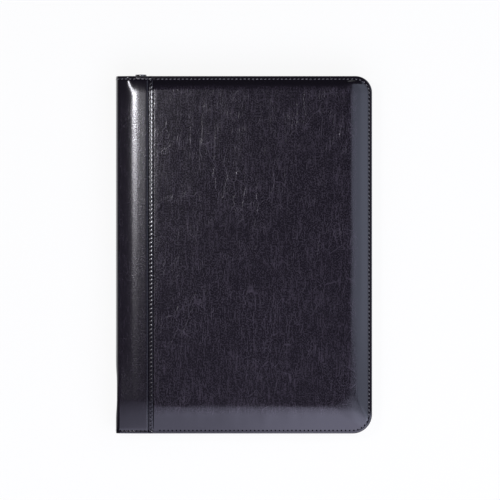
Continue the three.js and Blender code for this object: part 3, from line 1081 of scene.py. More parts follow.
class Stitching:
    """Rows of separate stitches, each a small rounded body of thread, with a dark disc of painted shade for
    each needle hole between them.
    """

    def __init__(self, style: StitchStyle) -> None:
        """Takes the size of a stitch.

        Args:
            style: the size.
        """
        self.style = style
        self.thread = MeshWriter()
        self.holes = MeshWriter()

    def row(self, path: np.ndarray, normal: np.ndarray) -> None:
        """Lays stitches along a path.

        Args:
            path: the line of the seam, as close points.
            normal: the direction that the leather faces at each point.
        """
        style = self.style
        reach = lengths_of(path)
        count = int(reach[-1] // style.pitch)
        first = (reach[-1] - (count - 1) * style.pitch) / 2
        for at in first + style.pitch * np.arange(count):
            ends = sample(path, reach, at + style.length / 2 * np.array([-1.0, 0.0, 1.0]))
            up = unit(sample(normal, reach, at))
            tangent = unit(ends[2] - ends[0])
            side = np.cross(up, tangent)
            self._stitch(ends[1], up, tangent, side)
            self._hole(sample(path, reach, at + style.pitch / 2), up, tangent, side)

    def _stitch(self, middle: np.ndarray, up: np.ndarray, tangent: np.ndarray, side: np.ndarray) -> None:
        """Lays one stitch.

        Args:
            middle: its middle.
            up: the direction that the leather faces.
            tangent: the direction of the row.
            side: the direction across the row.
        """
        style = self.style
        share = np.sin(np.linspace(-1, 1, style.rings) * math.pi / 2)[:, None]
        girth = np.sqrt(np.maximum(1 - share**2, 0.03))[..., None]
        turn = np.linspace(0, TURN, style.sides, endpoint=False)[None, :, None]
        line = middle + tangent * share * style.length / 2
        line += side * share * style.slant - up * style.sink * (1 + 1.4 * share**2)
        ring = np.cos(turn) * side * style.width / 2 + np.sin(turn) * up * style.height / 2
        self.thread.tube(line[:, None, :] + ring * girth)

    def _hole(self, spot: np.ndarray, up: np.ndarray, tangent: np.ndarray, side: np.ndarray) -> None:
        """Lays a small black disc at a needle hole: painted shade for the hole's mouth.

        Args:
            spot: its middle.
            up: the direction that the leather faces.
            tangent: the direction of the row.
            side: the direction across the row.
        """
        turn = np.linspace(0, TURN, 8, endpoint=False)[:, None]
        mouth = (np.cos(turn) * tangent * 0.8 + np.sin(turn) * side) * self.style.hole
        levels = ((1.0, -0.12), (0.95, 0.02), (0.6, 0.06))
        self.holes.tube(np.array([spot + mouth * share + up * lift for share, lift in levels]))

    def pieces(self, name: str, thread: Finish, holes: Finish) -> list[tuple[str, Finish, MeshWriter]]:
        """Names the stitches and the dark discs of painted shade at their needle holes.

        Args:
            name: the seam's name.
            thread: the finish of the stitches.
            holes: the finish of the dark discs of painted shade.

        Returns:
            The name, finish and mesh of each piece.
        """
        return [(name, thread, self.thread), (name + "_holes", holes, self.holes)]


# Sub-assemblies


@dataclass
class Sizes:
    """What the covers share, in millimetres."""

    half_width: float = 82.0
    half_height: float = 114.3
    head_radius: float = 10.6
    foot_radius: float = 12.4
    hem: float = 2.7
    stitch_inset: float = 1.95
    seam_stitch_inset: float = 1.55
    strip_edge: float = 24.1
    leather: float = 0.9
    stitches: StitchStyle = field(default_factory=StitchStyle)

    @property
    def foot_stitches(self) -> StitchStyle:
        """The same stitch drawn in deeper, with wider discs of painted shade at its needle holes, as along
        the foot.
        """
        return replace(self.stitches, sink=0.24, hole=0.72)


@dataclass
class PaddedPanel:
    """A leather panel with a turned hem on three sides, square at the seam."""

    sizes: Sizes
    seam_x: float
    crown: float
    rim: float
    under: float
    fore_slope: float = 6.0
    foot_slope: float = 6.0
    head_slope: float = 6.0
    seam_slope: float = 5.0
    seam_lip: float = 0.955
    lip_width: float = 0.09
    slope_power: float = 1.5
    foot_fall: float = 0.0
    corner_ease: float = 0.0
    head_fade: float = 0.86
    ripple: float = 0.0
    roll: float = 0.75
    roll_drop: float = 0.55
    groove: float = 0.1
    step: float = 0.88
    seed: float = 3.7

    @property
    def facing(self) -> float:
        """1 for a panel that faces up, -1 for one that faces down."""
        return 1.0 if self.crown > self.under else -1.0

    def _box_distance(self, x: np.ndarray, y: np.ndarray, share: np.ndarray, hem: float) -> np.ndarray:
        """The signed distance to the outline drawn in by the hem and a share of each slope.

        Args:
            x: the places across the cover.
            y: the places along it.
            share: the share of each slope, 0 at the hem and 1 at the field.
            hem: the hem's width.

        Returns:
            The distance, negative inside.
        """
        s = self.sizes
        radius = np.where(y > 0, s.head_radius, s.foot_radius + self.corner_ease * share) - hem
        right = s.half_width - hem - share * (self.fore_slope - hem)
        towards_fore = smooth_step((x - (s.half_width - self.fore_slope - 5.0)) / 9.0)
        head = self.head_slope - (self.head_slope - s.hem) * self.head_fade * towards_fore
        slope = np.where(y > 0, head, self.foot_slope)
        half = s.half_height - hem - share * (slope - hem)
        across = x - (right - radius)
        along = np.abs(y) - (half - radius)
        outside = np.hypot(np.maximum(across, 0), np.maximum(along, 0))
        return outside + np.minimum(np.maximum(across, along), 0) - radius

    def _rise(self, x: np.ndarray, y: np.ndarray) -> np.ndarray:
        """How far up the padding's slope a point is: 0 at the hem, 1 on the field.

        Args:
            x: the places across the cover.
            y: the places along it.

        Returns:
            The share, found by halving.
        """
        low, high = np.zeros_like(x), np.ones_like(x)
        for _ in range(22):
            share = (low + high) / 2
            inside = self._box_distance(x, y, share, self.sizes.hem) < 0
            low, high = np.where(inside, share, low), np.where(inside, high, share)
        return (low + high) / 2

    def _field_share(self, x: np.ndarray, y: np.ndarray) -> np.ndarray:
        """The padding's height as a share of the crown.

        Args:
            x: the places across the cover.
            y: the places along it.

        Returns:
            The share, 1 on the field.
        """
        border = 1 - (1 - self._rise(x, y)) ** self.slope_power
        from_seam = np.maximum(x - self.seam_x, 0)
        lip = self.seam_lip * (1 - np.exp(-from_seam / self.lip_width))
        swell = (1 - self.seam_lip) * (1 - np.clip(1 - from_seam / self.seam_slope, 0, 1) ** 2)
        return border * (lip + swell)

    def _height(self, x: np.ndarray, y: np.ndarray) -> np.ndarray:
        """The height of the panel's face, with its stitch groove and rolled edge.

        Args:
            x: the places across the cover.
            y: the places along it.

        Returns:
            The height.
        """
        s = self.sizes
        inset = -self._box_distance(x, y, np.zeros_like(x), 0.0)
        z = self.rim + (self.crown - self.rim) * self._field_share(x, y)
        run = np.where(np.abs(y) > s.half_height - self.fore_slope, x, y)
        pucker = 0.7 + 0.3 * np.cos(TURN * run / s.stitches.pitch)
        at_foot = smooth_step((s.foot_radius - s.half_height + 2.0 - y) / 6.0)
        z = z - self.foot_fall * at_foot * np.clip(s.hem - inset, 0, None)
        turn = np.clip(1 - inset / self.roll, 0, 1)
        drop = self.groove * bell(inset, s.stitch_inset, 0.5) * pucker
        return z - self.facing * (drop + self.roll_drop * (1 - np.sqrt(1 - turn**2 * 0.999)))

    def _grid(self) -> tuple[np.ndarray, np.ndarray]:
        """The panel's grid of x and y, with its fore corners drawn round."""
        s = self.sizes
        xs = spaced(self.seam_x, s.half_width, self.step, EDGE_STEPS)
        xs = np.concatenate([self.seam_x + np.array(LIP_STEPS), xs[xs > self.seam_x + 2.8]])
        ys = spaced(-s.half_height, s.half_height, self.step, EDGE_STEPS)
        x, y = np.meshgrid(xs, ys, indexing="ij")
        radius = np.where(y > 0, s.head_radius, s.foot_radius)
        across = (x - (s.half_width - radius)) / radius
        along = (np.abs(y) - (s.half_height - radius)) / radius
        corner = (across > 0) & (along > 0)
        a, b = np.clip(across, 0, 1), np.clip(along, 0, 1)
        round_x = s.half_width - radius + radius * a * np.sqrt(1 - b * b / 2)
        round_y = (s.half_height - radius + radius * b * np.sqrt(1 - a * a / 2)) * np.sign(y)
        return np.where(corner, round_x, x), np.where(corner, round_y, y)

    def _ripples(self, x: np.ndarray, y: np.ndarray) -> np.ndarray:
        """Slow unevenness of the leather over its padding.

        Args:
            x: the places across the cover.
            y: the places along it.

        Returns:
            The heights, between about -1 and 1.
        """
        flat = [
            noise.noise(Vector((px * 0.035, py * 0.02, self.seed)))
            + 0.35 * noise.noise(Vector((px * 0.16, py * 0.05, self.seed * 2)))
            for px, py in zip(x.ravel(), y.ravel())
        ]
        return np.array(flat).reshape(x.shape)

    def mesh(self) -> MeshWriter:
        """The panel as one closed body: its face, turned edge, hem underneath and closing face."""
        writer = MeshWriter()
        x, y = self._grid()
        share = self._field_share(x, y)
        z = np.minimum(self._height(x, y) + self.ripple * self._ripples(x, y) * share, self.crown)
        points = np.stack([x, y, z], axis=-1)
        numbers = writer.put(points, smooth_step((share - 0.55) / 0.45))
        writer.quads(numbers)
        ring = np.concatenate([numbers[:-1, 0], numbers[-1, :-1], numbers[:0:-1, -1], numbers[0, :0:-1]])
        rim = points.reshape(-1, 3)[ring]
        step = np.roll(rim, -1, axis=0) - np.roll(rim, 1, axis=0)
        inward = unit(np.stack([-step[:, 1], step[:, 0], np.zeros(len(step))], axis=1))
        levels = [(0.0, 0.62), (0.0, 0.3), (0.1, 0.12), (0.32, 0.0), (2.0, 0.0), (self.sizes.hem, 0.0)]
        for inset, lift in levels:
            level = rim + inward * inset
            level[:, 2] = self.under + self.facing * lift
            current = writer.put(level)
            writer.quads(np.stack([ring, current]), wrap=True)
            ring = current
        writer.faces.append(ring.tolist())
        return writer

    def border_path(self, inset: float, start_x: float) -> tuple[np.ndarray, np.ndarray]:
        """The stitch line round three sides, from the seam at the foot to the seam at the head.

        Args:
            inset: the line's distance from the outline.
            start_x: where it begins and ends.

        Returns:
            The points on the panel's face, one every millimetre, and its normals there.
        """
        s = self.sizes
        right, top = s.half_width - inset, s.half_height - inset
        foot, head = s.foot_radius - inset, s.head_radius - inset
        plan = np.concatenate(
            [
                [(start_x, -top)],
                arc((right - foot, foot - top), foot, -90, 0, 19),
                arc((right - head, top - head), head, 0, 90, 19),
                [(start_x, top)],
            ]
        )
        reach = lengths_of(plan)
        x, y = sample(plan, reach, np.arange(0, reach[-1], 1.0)).T
        delta = 0.3
        slope_x = (self._height(x + delta, y) - self._height(x - delta, y)) / (2 * delta)
        slope_y = (self._height(x, y + delta) - self._height(x, y - delta)) / (2 * delta)
        normal = unit(np.stack([-slope_x, -slope_y, np.ones_like(x)], axis=1))
        return np.stack([x, y, self._height(x, y)], axis=1), normal * self.facing


@dataclass
class Covers:
    """The front and back leather panels with their border stitching."""

    sizes: Sizes
    finishes: Finishes

    def build(self) -> None:
        """Builds the padded front panel and the flat back panel, which faces down."""
        s = self.sizes
        front, back = Box.of("front_leather"), Box.of("back_leather")
        rim = Box.of("front_board").low[2] + 2 * s.leather
        seam_x = s.strip_edge - s.half_width
        slopes = {"fore_slope": 14.7, "foot_slope": 18.5, "head_slope": 8.8}
        swell = {"foot_fall": 0.17, "corner_ease": 3.0, "ripple": 0.13}
        padded = PaddedPanel(s, seam_x, front.high[2], rim, front.low[2], **slopes, **swell)
        flat = PaddedPanel(s, seam_x, back.low[2], back.low[2] + 0.35, back.high[2])
        piece = padded.mesh().ride("front_panel", self.finishes.leather, Body.FRONT, "front_leather")
        self._border("front_border_stitching", padded, Body.FRONT)
        flat.mesh().ride("back_panel", self.finishes.leather, Body.BACK, "back_leather")
        self._border("back_border_stitching", flat, Body.BACK)

    def _border(self, name: str, panel: PaddedPanel, body: Body) -> None:
        """Sews round a panel's three free sides, drawn in deeper along the foot.

        Args:
            name: the start of the names of the stitching's pieces.
            panel: the panel.
            body: the body that it moves with.
        """
        s, f = self.sizes, self.finishes
        points, normals = panel.border_path(s.stitch_inset, panel.seam_x + 1.0)
        turn = int(np.argmax(points[:, 1] > 0.8 * s.foot_radius - s.half_height))
        rows = [
            ("foot", s.foot_stitches, f.seam_thread, slice(turn + 1)),
            ("edge", replace(s.stitches, hole=0.27), f.thread, slice(turn, None)),
        ]
        for part, style, thread, span in rows:
            stitching = Stitching(style)
            stitching.row(points[span], normals[span])
            for title, finish, mesh in stitching.pieces(f"{name}_{part}", thread, f.holes):
                mesh.ride(title, finish, body)


class Half(Enum):
    """The two halves of the spine strip, each with the two bodies on either side of it."""

    UPPER = (Body.SPINE, Body.FRONT)
    LOWER = (Body.BACK, Body.SPINE)


@dataclass
class SpineStrip:
    """The leather strip from the front seam round the spine to the back seam, and its lining."""

    sizes: Sizes
    finishes: Finishes
    step: float = 0.88
    ridge_drop: float = 1.6
    foot_drop: float = 2.5
    end_length: float = 13.0
    waist: float = 0.62
    shoulder_run: float = 2.1
    squareness: float = 2.2
    ridge_z: float = 20.8
    side_slope: float = 0.27
    crest_lift: float = 0.144
    crest_run: float = 3.0
    near_reach: float = 4.0
    near_rise: float = 0.126
    near_fall: float = 0.00825
    far_rise: float = 0.06
    far_fall: float = 0.0014
    bead_height: float = 0.058
    lip_drop: float = 0.3
    channel_inset: float = 3.15
    channel_depth: float = 0.75
    back_channel_depth: float = 0.18
    back_seam_depth: float = 0.3
    square_round: float = 3.6
    square_slope: float = 0.15
    square_start: float = -52.0
    square_run: float = 40.0
    waist_y: float = -87.0
    waist_reach: float = 13.0
    foot_extra: float = 9.0
    groove_depth: float = 0.22
    pucker_height: float = 0.085
    pucker_inset: float = 1.4
    cloth: float = 0.5
    cloth_gap: float = 0.2
    round_count: int = 23

    def __post_init__(self) -> None:
        """Reads the round of the spine from the frame."""
        front = Box.of("spine_strip_front")
        self.top = front.high[2]
        self.radius = self.top / 2
        self.centre_x = Box.of("spine_strip_middle").low[0] + self.radius
        self.edge_x = self.centre_x - self.radius
        self.seam_x = front.high[0]

    def build(self) -> None:
        """Builds the strip in two halves that meet along the middle of the spine, then its lining."""
        upper, lower = self._upper_section(), self._lower_section()
        self._half("strip_upper", upper, Half.UPPER, ["spine_strip_front"])
        self._half("strip_lower", lower, Half.LOWER, ["spine_strip_back", "spine_strip_middle"])
        self._lining("gutter_cloth_upper", self._upper_cloth(upper), Half.UPPER, ["gutter_lining_front"])
        covered = ["gutter_lining_back", "gutter_lining_middle"]
        self._lining("gutter_cloth_lower", self._lower_cloth(), Half.LOWER, covered)

    def _round(self, radius: float) -> np.ndarray:
        """The quarter of the spine's round from its underside to its middle."""
        return arc((self.centre_x, self.radius), radius, 270, 180, self.round_count)

    def _upper_section(self) -> np.ndarray:
        """The outer line from the middle of the spine over its shoulder to the front seam."""
        ridge = self.centre_x + 0.1
        power = 2 / self.squareness
        angle = np.radians(np.linspace(0, 90, 36)[:-1])
        bend = self.edge_x + self.shoulder_run * (1 - np.cos(angle) ** power)
        across = np.concatenate([bend, np.arange(self.edge_x + self.shoulder_run, ridge - 0.2, 0.6)])
        wall = np.concatenate([1 - np.sin(angle) ** power, np.zeros(len(across) - len(bend))])
        away = ridge - across
        crest = self.crest_lift * self.crest_run * (1 - np.exp(-away / self.crest_run))
        slope = self.ridge_z - self.side_slope * away + crest
        up = slope - (slope[0] - self.radius) * wall
        x = np.concatenate([np.arange(ridge, self.seam_x - 4.6, 0.7), self.seam_x - SEAM_STEPS[::-1]])
        near = np.minimum(x - ridge, self.near_reach)
        far = np.maximum(x - ridge - self.near_reach, 0.0)
        from_seam = self.seam_x - x
        z = self.ridge_z + self.near_rise * near - self.near_fall * near**2
        z += self.far_rise * far - self.far_fall * far**2
        z += self.bead_height * smooth_step((1.3 - from_seam) / 0.8)
        z -= self.channel_depth * bell(from_seam, self.channel_inset, 0.36)
        z -= self.lip_drop * np.clip(1 - from_seam / 0.5, 0, 1) ** 2
        return np.concatenate([np.stack([across, up], axis=1), np.stack([x, z], axis=1)])

    def _lower_section(self) -> np.ndarray:
        """The outer line from the back seam under the spine to its middle."""
        inner = np.arange(self.seam_x - 5.0, self.centre_x + 0.4, -0.9)
        x = np.concatenate([self.seam_x - SEAM_STEPS, inner])
        from_seam = self.seam_x - x
        z = self.back_channel_depth * bell(from_seam, self.channel_inset, 0.42)
        z += self.back_seam_depth * bell(from_seam, self.sizes.seam_stitch_inset, 0.9)
        return np.concatenate([np.stack([x, z], axis=1), self._round(self.radius)])

    def _press(self, points: np.ndarray) -> np.ndarray:
        """Presses the strip's two ends down and draws its waist in.

        Args:
            points: a grid of points.

        Returns:
            The grid, pressed.
        """
        x, y, z = np.moveaxis(points, -1, 0)
        from_end = self.sizes.half_height - np.abs(y)
        head = np.clip(1 - from_end / self.end_length, 0, 1) * (y > 0)
        foot = np.clip(1 - from_end / (self.end_length + self.foot_extra), 0, 1) * (y < 0)
        right = smooth_step((x - (self.centre_x - 4.0)) / 6.0)
        drop = self.ridge_drop * head**2 * (0.12 + 0.88 * right) + self.foot_drop * foot**1.5
        outer = np.clip((self.centre_x - x) / self.radius, 0, 1)
        drawn = x + self.waist * outer * bell(y, self.waist_y, self.waist_reach, 4)
        return np.stack([drawn, y, z - np.clip(z / self.top, 0, 1) ** 2 * drop], axis=-1)

    def _square(self, x: np.ndarray, y: np.ndarray, level: np.ndarray) -> np.ndarray:
        """How far the shoulder stands up towards the foot, where the strip lies flat to its edge.

        Args:
            x: the places across the cover.
            y: the places along the spine.
            level: the heights of the strip's section.

        Returns:
            The heights to add.
        """
        out = np.clip(1 - (x - self.edge_x) / self.square_round, 0, 1)
        turn = self.square_round * (1 - np.sqrt(1 - 0.99 * out**2))
        flat = self.ridge_z - self.square_slope * (self.centre_x - x) - turn
        above = smooth_step((level - self.radius) / 5.0)
        towards_foot = smooth_step((self.square_start - y) / self.square_run)
        share = towards_foot * smooth_step((self.centre_x - x) / 3.0)
        return np.clip(flat - level, 0, None) * above * share

    def _face(self, straight: np.ndarray, half: Half) -> np.ndarray:
        """The outer face of one half, with its grooves and the puckers beside its seam.

        Args:
            straight: the section carried straight along the spine.
            half: the half of the strip.

        Returns:
            The grid of points.
        """
        s = self.sizes
        level = straight[..., 2]
        face = self._press(straight)
        x, y = face[..., 0], face[..., 1]
        from_end = s.half_height - np.abs(y)
        if half is Half.LOWER:
            sunk = bell(from_end, s.stitch_inset, 0.8) * np.clip(1 - level / 3.0, 0, 1)
            face[..., 2] += self.back_seam_depth * sunk
            return face
        groove = bell(from_end, s.stitch_inset, 0.5) * np.clip(level / self.top, 0, 1) ** 2
        from_seam = self.seam_x - x
        wave = np.cos(TURN * (y + from_seam * 0.5) / s.stitches.pitch)
        pucker = wave * bell(from_seam, self.pucker_inset, 1.0)
        face[..., 2] += self._square(x, y, level) - self.groove_depth * groove + self.pucker_height * pucker
        return face

    def _half(self, name: str, section: np.ndarray, half: Half, nodes: list[str]) -> None:
        """Makes one half of the strip with its stitching.

        Args:
            name: the object's name.
            section: its outer line, as points of x and z.
            half: which half it is.
            nodes: the CAD nodes that it stands for.
        """
        s, finish = self.sizes, self.finishes.strip_leather
        ys = spaced(-s.half_height, s.half_height, self.step, EDGE_STEPS)
        straight, normal, surface = sweep(section, ys)
        outer = self._face(straight, half)
        from_end = s.half_height - np.abs(outer[..., 1])
        reach = lengths_of(section)[:, None]
        from_seam = reach[-1] - reach if half is Half.UPPER else reach
        share = edge_share(from_end, 0.5) * edge_share(from_seam, 0.5)
        grain = smooth_step((from_end - 6.0) / 20.0) * smooth_step((from_seam - 3.5) / 2.0)
        writer = MeshWriter()
        slab(writer, outer - normal * s.leather / 2, normal, s.leather * share, 0.5 * grain, surface)
        self._bend(writer.build(name, finish), half, nodes)
        self._stitch(name + "_stitching", outer, normal, half)

    def _stitch(self, name: str, outer: np.ndarray, normal: np.ndarray, half: Half) -> None:
        """Sews the seam's row of stitches and the rows across both ends of one half.

        Args:
            name: the start of the names of its pieces.
            outer: the outer face as a grid of points.
            normal: the direction that the leather faces at each point.
            half: which half it is.
        """
        s, f = self.sizes, self.finishes
        x = outer[:, outer.shape[1] // 2, 0]
        column = int(np.argmin(np.abs(x - (self.seam_x - s.seam_stitch_inset))))
        inset = s.half_height - s.stitch_inset
        foot, head = (int(np.argmin(np.abs(outer[0, :, 1] - y))) for y in (-inset, inset))
        slanted = replace(s.stitches, slant=-0.45, width=0.62, height=0.56, hole=0.5)
        line, facing, lit = outer[column], normal[column], outer[column, :, 1] > 20.0
        rows = [
            ("seam_head", slanted, f.seam_thread, line[lit], facing[lit]),
            ("seam_foot", replace(slanted, sink=0.2), f.seam_thread, line[~lit], facing[~lit]),
            ("foot", s.foot_stitches, f.seam_thread, outer[:, foot], normal[:, foot]),
            ("head", s.stitches, f.thread, outer[:, head], normal[:, head]),
        ]
        for part, style, thread, path, up in rows:
            stitching = Stitching(style)
            stitching.row(path, up)
            for title, finish, mesh in stitching.pieces(f"{name}_{part}", thread, f.holes):
                self._bend(mesh.build(title, finish), half, [])

    def _bend(self, piece: bpy.types.Object, half: Half, nodes: list[str]) -> None:
        """Bakes a piece's place into its mesh and hides the CAD nodes that it stands for.

        Args:
            piece: the object.
            half: the half of the strip that it lies on.
            nodes: the CAD nodes that it stands for.
        """
        side = (self.edge_x, self.radius)
        ends = (side, (self.centre_x, self.top)) if half is Half.UPPER else ((self.centre_x, 0.0), side)
        (x0, z0), (x1, z1) = ends
        x0 * MM
        z0 * MM
        x1 * MM
        z1 * MM
        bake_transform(piece)
        if nodes:
            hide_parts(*nodes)

    @property
    def _cloth_depth(self) -> float:
        """How deep the middle of the lining cloth lies under the strip's face."""
        return self.sizes.leather + self.cloth_gap + self.cloth / 2

    def _upper_cloth(self, section: np.ndarray) -> np.ndarray:
        """The lining's line from the middle of the spine to the front seam.

        Args:
            section: the strip's outer line above it.

        Returns:
            The points of x and z.
        """
        board = Box.of("front_lining").high[2]
        inset = section - normals_of(section) * self._cloth_depth
        curve = inset[inset[:, 0] < self.centre_x + 2.0]
        tail = [
            curve[-1],
            (self.seam_x - 6.4, board + 0.9),
            (self.seam_x - 3.6, board - 0.45),
            (self.seam_x - 0.2, board - 0.45),
        ]
        return np.concatenate([curve, smooth_line(tail)[1:]])

    def _lower_cloth(self) -> np.ndarray:
        """The lining's line from the back seam to the middle of the spine."""
        tail = [
            (self.seam_x - 0.2, Box.of("back_lining").low[2] + 0.45),
            (self.seam_x - 2.2, 2.55),
            (self.seam_x - 4.4, 2.4),
            (self.seam_x - 6.4, 1.4),
            (self.centre_x + 1.0, 1.35),
        ]
        return np.concatenate([smooth_line(tail), self._round(self.radius - self._cloth_depth)])

    def _lining(self, name: str, line: np.ndarray, half: Half, nodes: list[str]) -> None:
        """Makes one half of the gutter's lining cloth.

        Args:
            name: the object's name.
            line: its middle line, as points of x and z.
            half: the half of the strip that it lies behind.
            nodes: the CAD nodes that it stands for.
        """
        end = self.sizes.half_height - 2.4
        straight, normal, surface = sweep(line, spaced(-end, end, 4.0, [0.0, 0.3, 0.8]))
        writer = MeshWriter()
        slab(writer, self._press(straight), normal, self.cloth, 0.0, surface)
        self._bend(writer.build(name, self.finishes.lining), half, nodes)


@dataclass
class SewnSheet:
    """A flat sewn-on sheet with rolled edges, whose head may slant."""

    x0: float
    x1: float
    y0: float
    y1: float
    slant: float = 0.0
    step: float = 2.0
    roll: float = 0.4

    @classmethod
    def over(cls, box: Box, inset: float = 0.0, slant: float = 0.0) -> SewnSheet:
        """A sheet that fills a box, drawn in by an inset."""
        (x0, y0, _), (x1, y1, _) = box.low, box.high
        return cls(x0 + inset, x1 - inset, y0 + inset, y1 - inset, slant)

    def grid(self, level: float) -> tuple[np.ndarray, np.ndarray]:
        """Lays the sheet's middle surface.

        Args:
            level: its height.

        Returns:
            The grid of points, and how much thickness is left at each.
        """
        width, height = self.x1 - self.x0, self.y1 - self.y0
        borders = np.array([0.0, 0.1, 0.25, 0.5, 0.9, 1.4, 1.9])
        xs = spaced(self.x0, self.x1, self.step, borders)
        ts = spaced(0.0, 1.0, self.step / height, borders / height)
        x, t = np.meshgrid(xs, ts, indexing="ij")
        top = self.y1 - self.slant * (x - self.x0) / width
        y = self.y0 + (top - self.y0) * t
        from_side = np.minimum(x - self.x0, self.x1 - x)
        from_end = np.minimum(y - self.y0, top - y)
        share = edge_share(from_side, self.roll) * edge_share(from_end, self.roll)
        return np.stack([x, y, np.full_like(x, level)], axis=-1), share

    def seams(self, inset: float, face: float) -> list[np.ndarray]:
        """The stitch lines along the sewn sides and along the head.

        Args:
            inset: their distance from the edge.
            face: the height of the face that shows.

        Returns:
            The lines, each as close points.
        """
        left, right, low = self.x0 + inset, self.x1 - inset, self.y0 + inset
        top_left, top_right = self.y1 - inset, self.y1 - self.slant - inset
        sides = [(left, top_left), (left, low), (right, low), (right, top_right)]
        head = [(left + 2.6, top_left), (right - 2.6, top_right)]
        laid = []
        for line in (np.array(sides), np.array(head)):
            reach = lengths_of(line)
            marks = np.unique(np.concatenate([np.arange(0, reach[-1], 1.0), reach]))
            laid.append(np.column_stack([sample(line, reach, marks), np.full(len(marks), face)]))
        return laid


@dataclass
class PlateOutline:
    """A plate with nearly square corners at the spine side and round ones at the fore-edge."""

    box: Box
    fore_radius: float
    spine_radius: float = 1.0
    ease: float = 0.15

    def _ring(self, inset: float, level: float) -> np.ndarray:
        """The outline drawn in by an inset.

        Args:
            inset: how far it is drawn in.
            level: its height.

        Returns:
            The points, once round.
        """
        (x0, y0, _), (x1, y1, _) = self.box.low, self.box.high
        spine, fore = self.spine_radius - min(inset, 0.5), self.fore_radius - inset
        left, right = x0 + inset + spine, x1 - inset - fore
        corners = [
            arc((left, y0 + inset + spine), spine, 180, 270, 5),
            arc((right, y0 + inset + fore), fore, 270, 360, 15),
            arc((right, y1 - inset - fore), fore, 0, 90, 15),
            arc((left, y1 - inset - spine), spine, 90, 180, 5),
        ]
        ring = np.concatenate(corners)
        return np.column_stack([ring, np.full(len(ring), level)])

    def mesh(self) -> MeshWriter:
        """The closed plate with eased edges."""
        low, high = self.box.low[2], self.box.high[2]
        ease = self.ease
        levels = [(ease, low), (0.0, low + ease), (0.0, high - ease), (ease, high)]
        writer = MeshWriter()
        writer.tube(np.array([self._ring(inset, level) for inset, level in levels]))
        return writer


@dataclass
class Pockets:
    """The linings and pockets on the inside of both covers."""

    finishes: Finishes
    skin: float = 0.6
    border: float = 6.0
    seam_inset: float = 0.9
    stitches: StitchStyle = field(
        default_factory=lambda: StitchStyle(pitch=2.8, length=2.0, width=0.62, height=0.42, hole=0.36)
    )

    def build(self) -> None:
        """Builds the linings, the pockets and their stitching."""
        for node, body in (("back_lining", Body.BACK), ("front_lining", Body.FRONT)):
            outline = PlateOutline(Box.of(node), fore_radius=8.5)
            outline.mesh().ride(node + "_cloth", self.finishes.lining, body, node)
        self._pocket("pad_pocket", Body.BACK)
        self._pocket("file_pocket", Body.FRONT, slant=26.0)
        self._pocket("card_pocket_upper", Body.FRONT)
        self._pocket("card_pocket_lower", Body.FRONT)
        self._identity_frame()

    def _pocket(self, node: str, body: Body, slant: float = 0.0) -> None:
        """Makes one pocket: a sheet with rolled edges, its gusset walls and its stitching.

        Args:
            node: the CAD node that it stands for.
            body: the cover that it is sewn to.
            slant: how much lower its head is on the right.
        """
        box = Box.of(node)
        facing = 1.0 if body is Body.BACK else -1.0
        seat, face = (box.low[2], box.high[2]) if body is Body.BACK else (box.high[2], box.low[2])
        sheet = SewnSheet.over(box, slant=slant)
        middle, share = sheet.grid(face - facing * self.skin / 2)
        writer = MeshWriter()
        slab(writer, middle, np.broadcast_to([0.0, 0.0, 1.0], middle.shape), self.skin * share)
        self._gusset(writer, sheet, seat, face - facing * self.skin * 0.6)
        writer.ride(node + "_panel", self.finishes.inner, body, node)
        self._sew(node + "_seam", sheet.seams(self.seam_inset, face), facing, body)

    @staticmethod
    def _gusset(writer: MeshWriter, sheet: SewnSheet, seat: float, face: float) -> None:
        """Adds the folded gusset between a pocket's sheet and the lining, on three sides.

        Args:
            writer: where the mesh goes.
            sheet: the pocket's sheet.
            seat: the height of the lining.
            face: the height of the sheet.
        """
        wall, rim = 1.1, 0.25
        low, high = sorted((seat, face))
        left, right, foot = sheet.x0 + rim, sheet.x1 - rim, sheet.y0 + rim
        top_left, top_right = sheet.y1 - 1.0, sheet.y1 - sheet.slant - 1.0
        corners = [
            ((left, top_left), (left + wall, top_left)),
            ((left, foot), (left + wall, foot + wall)),
            ((right, foot), (right - wall, foot + wall)),
            ((right, top_right), (right - wall, top_right)),
        ]
        writer.tube(np.array([[(*o, low), (*i, low), (*i, high), (*o, high)] for o, i in corners]))

    def _sew(self, name: str, lines: Sequence[np.ndarray], facing: float, body: Body) -> None:
        """Sews rows of stitches on a flat face.

        Args:
            name: the seam's name.
            lines: its lines, each as close points.
            facing: 1 for a face that faces up, -1 for one that faces down.
            body: the body that it moves with.
        """
        stitching = Stitching(self.stitches)
        for line in lines:
            stitching.row(line, np.tile([0.0, 0.0, facing], (len(line), 1)))
        for title, finish, mesh in stitching.pieces(name, self.finishes.inner_thread, self.finishes.holes):
            mesh.ride(title, finish, body)

    def _identity_frame(self) -> None:
        """Makes the frame round the identity card's window, and its stitching."""
        box = Box.of("id_pocket_frame")
        low, high = box.low, box.high
        edges = [0.0, 0.12, 0.3, 0.6]
        inset = np.array([*edges, self.border / 2, *[self.border - e for e in reversed(edges)]])
        share = edge_share(np.minimum(inset, self.border - inset), 0.4)
        drop = (high[2] - low[2]) / 2 * (1 - share)
        z = np.concatenate([low[2] + drop, high[2] - drop[::-1]])
        inset = np.concatenate([inset, inset[::-1]])
        x0, x1, y0, y1 = low[0] + inset, high[0] - inset, low[1] + inset, high[1] - inset
        corners = np.array([(x0, y0, z), (x1, y0, z), (x1, y1, z), (x0, y1, z)])
        writer = MeshWriter()
        numbers = writer.put(corners.transpose(2, 0, 1))
        writer.quads(np.concatenate([numbers, numbers[:1]]), wrap=True)
        writer.ride("id_frame_panel", self.finishes.inner, Body.FRONT, "id_pocket_frame")
        outer, opening = SewnSheet.over(box), SewnSheet.over(box, inset=self.border)
        lines = [*outer.seams(self.seam_inset, low[2]), *opening.seams(-1.1, low[2])]
        self._sew("id_frame_seam", lines, -1.0, Body.FRONT)


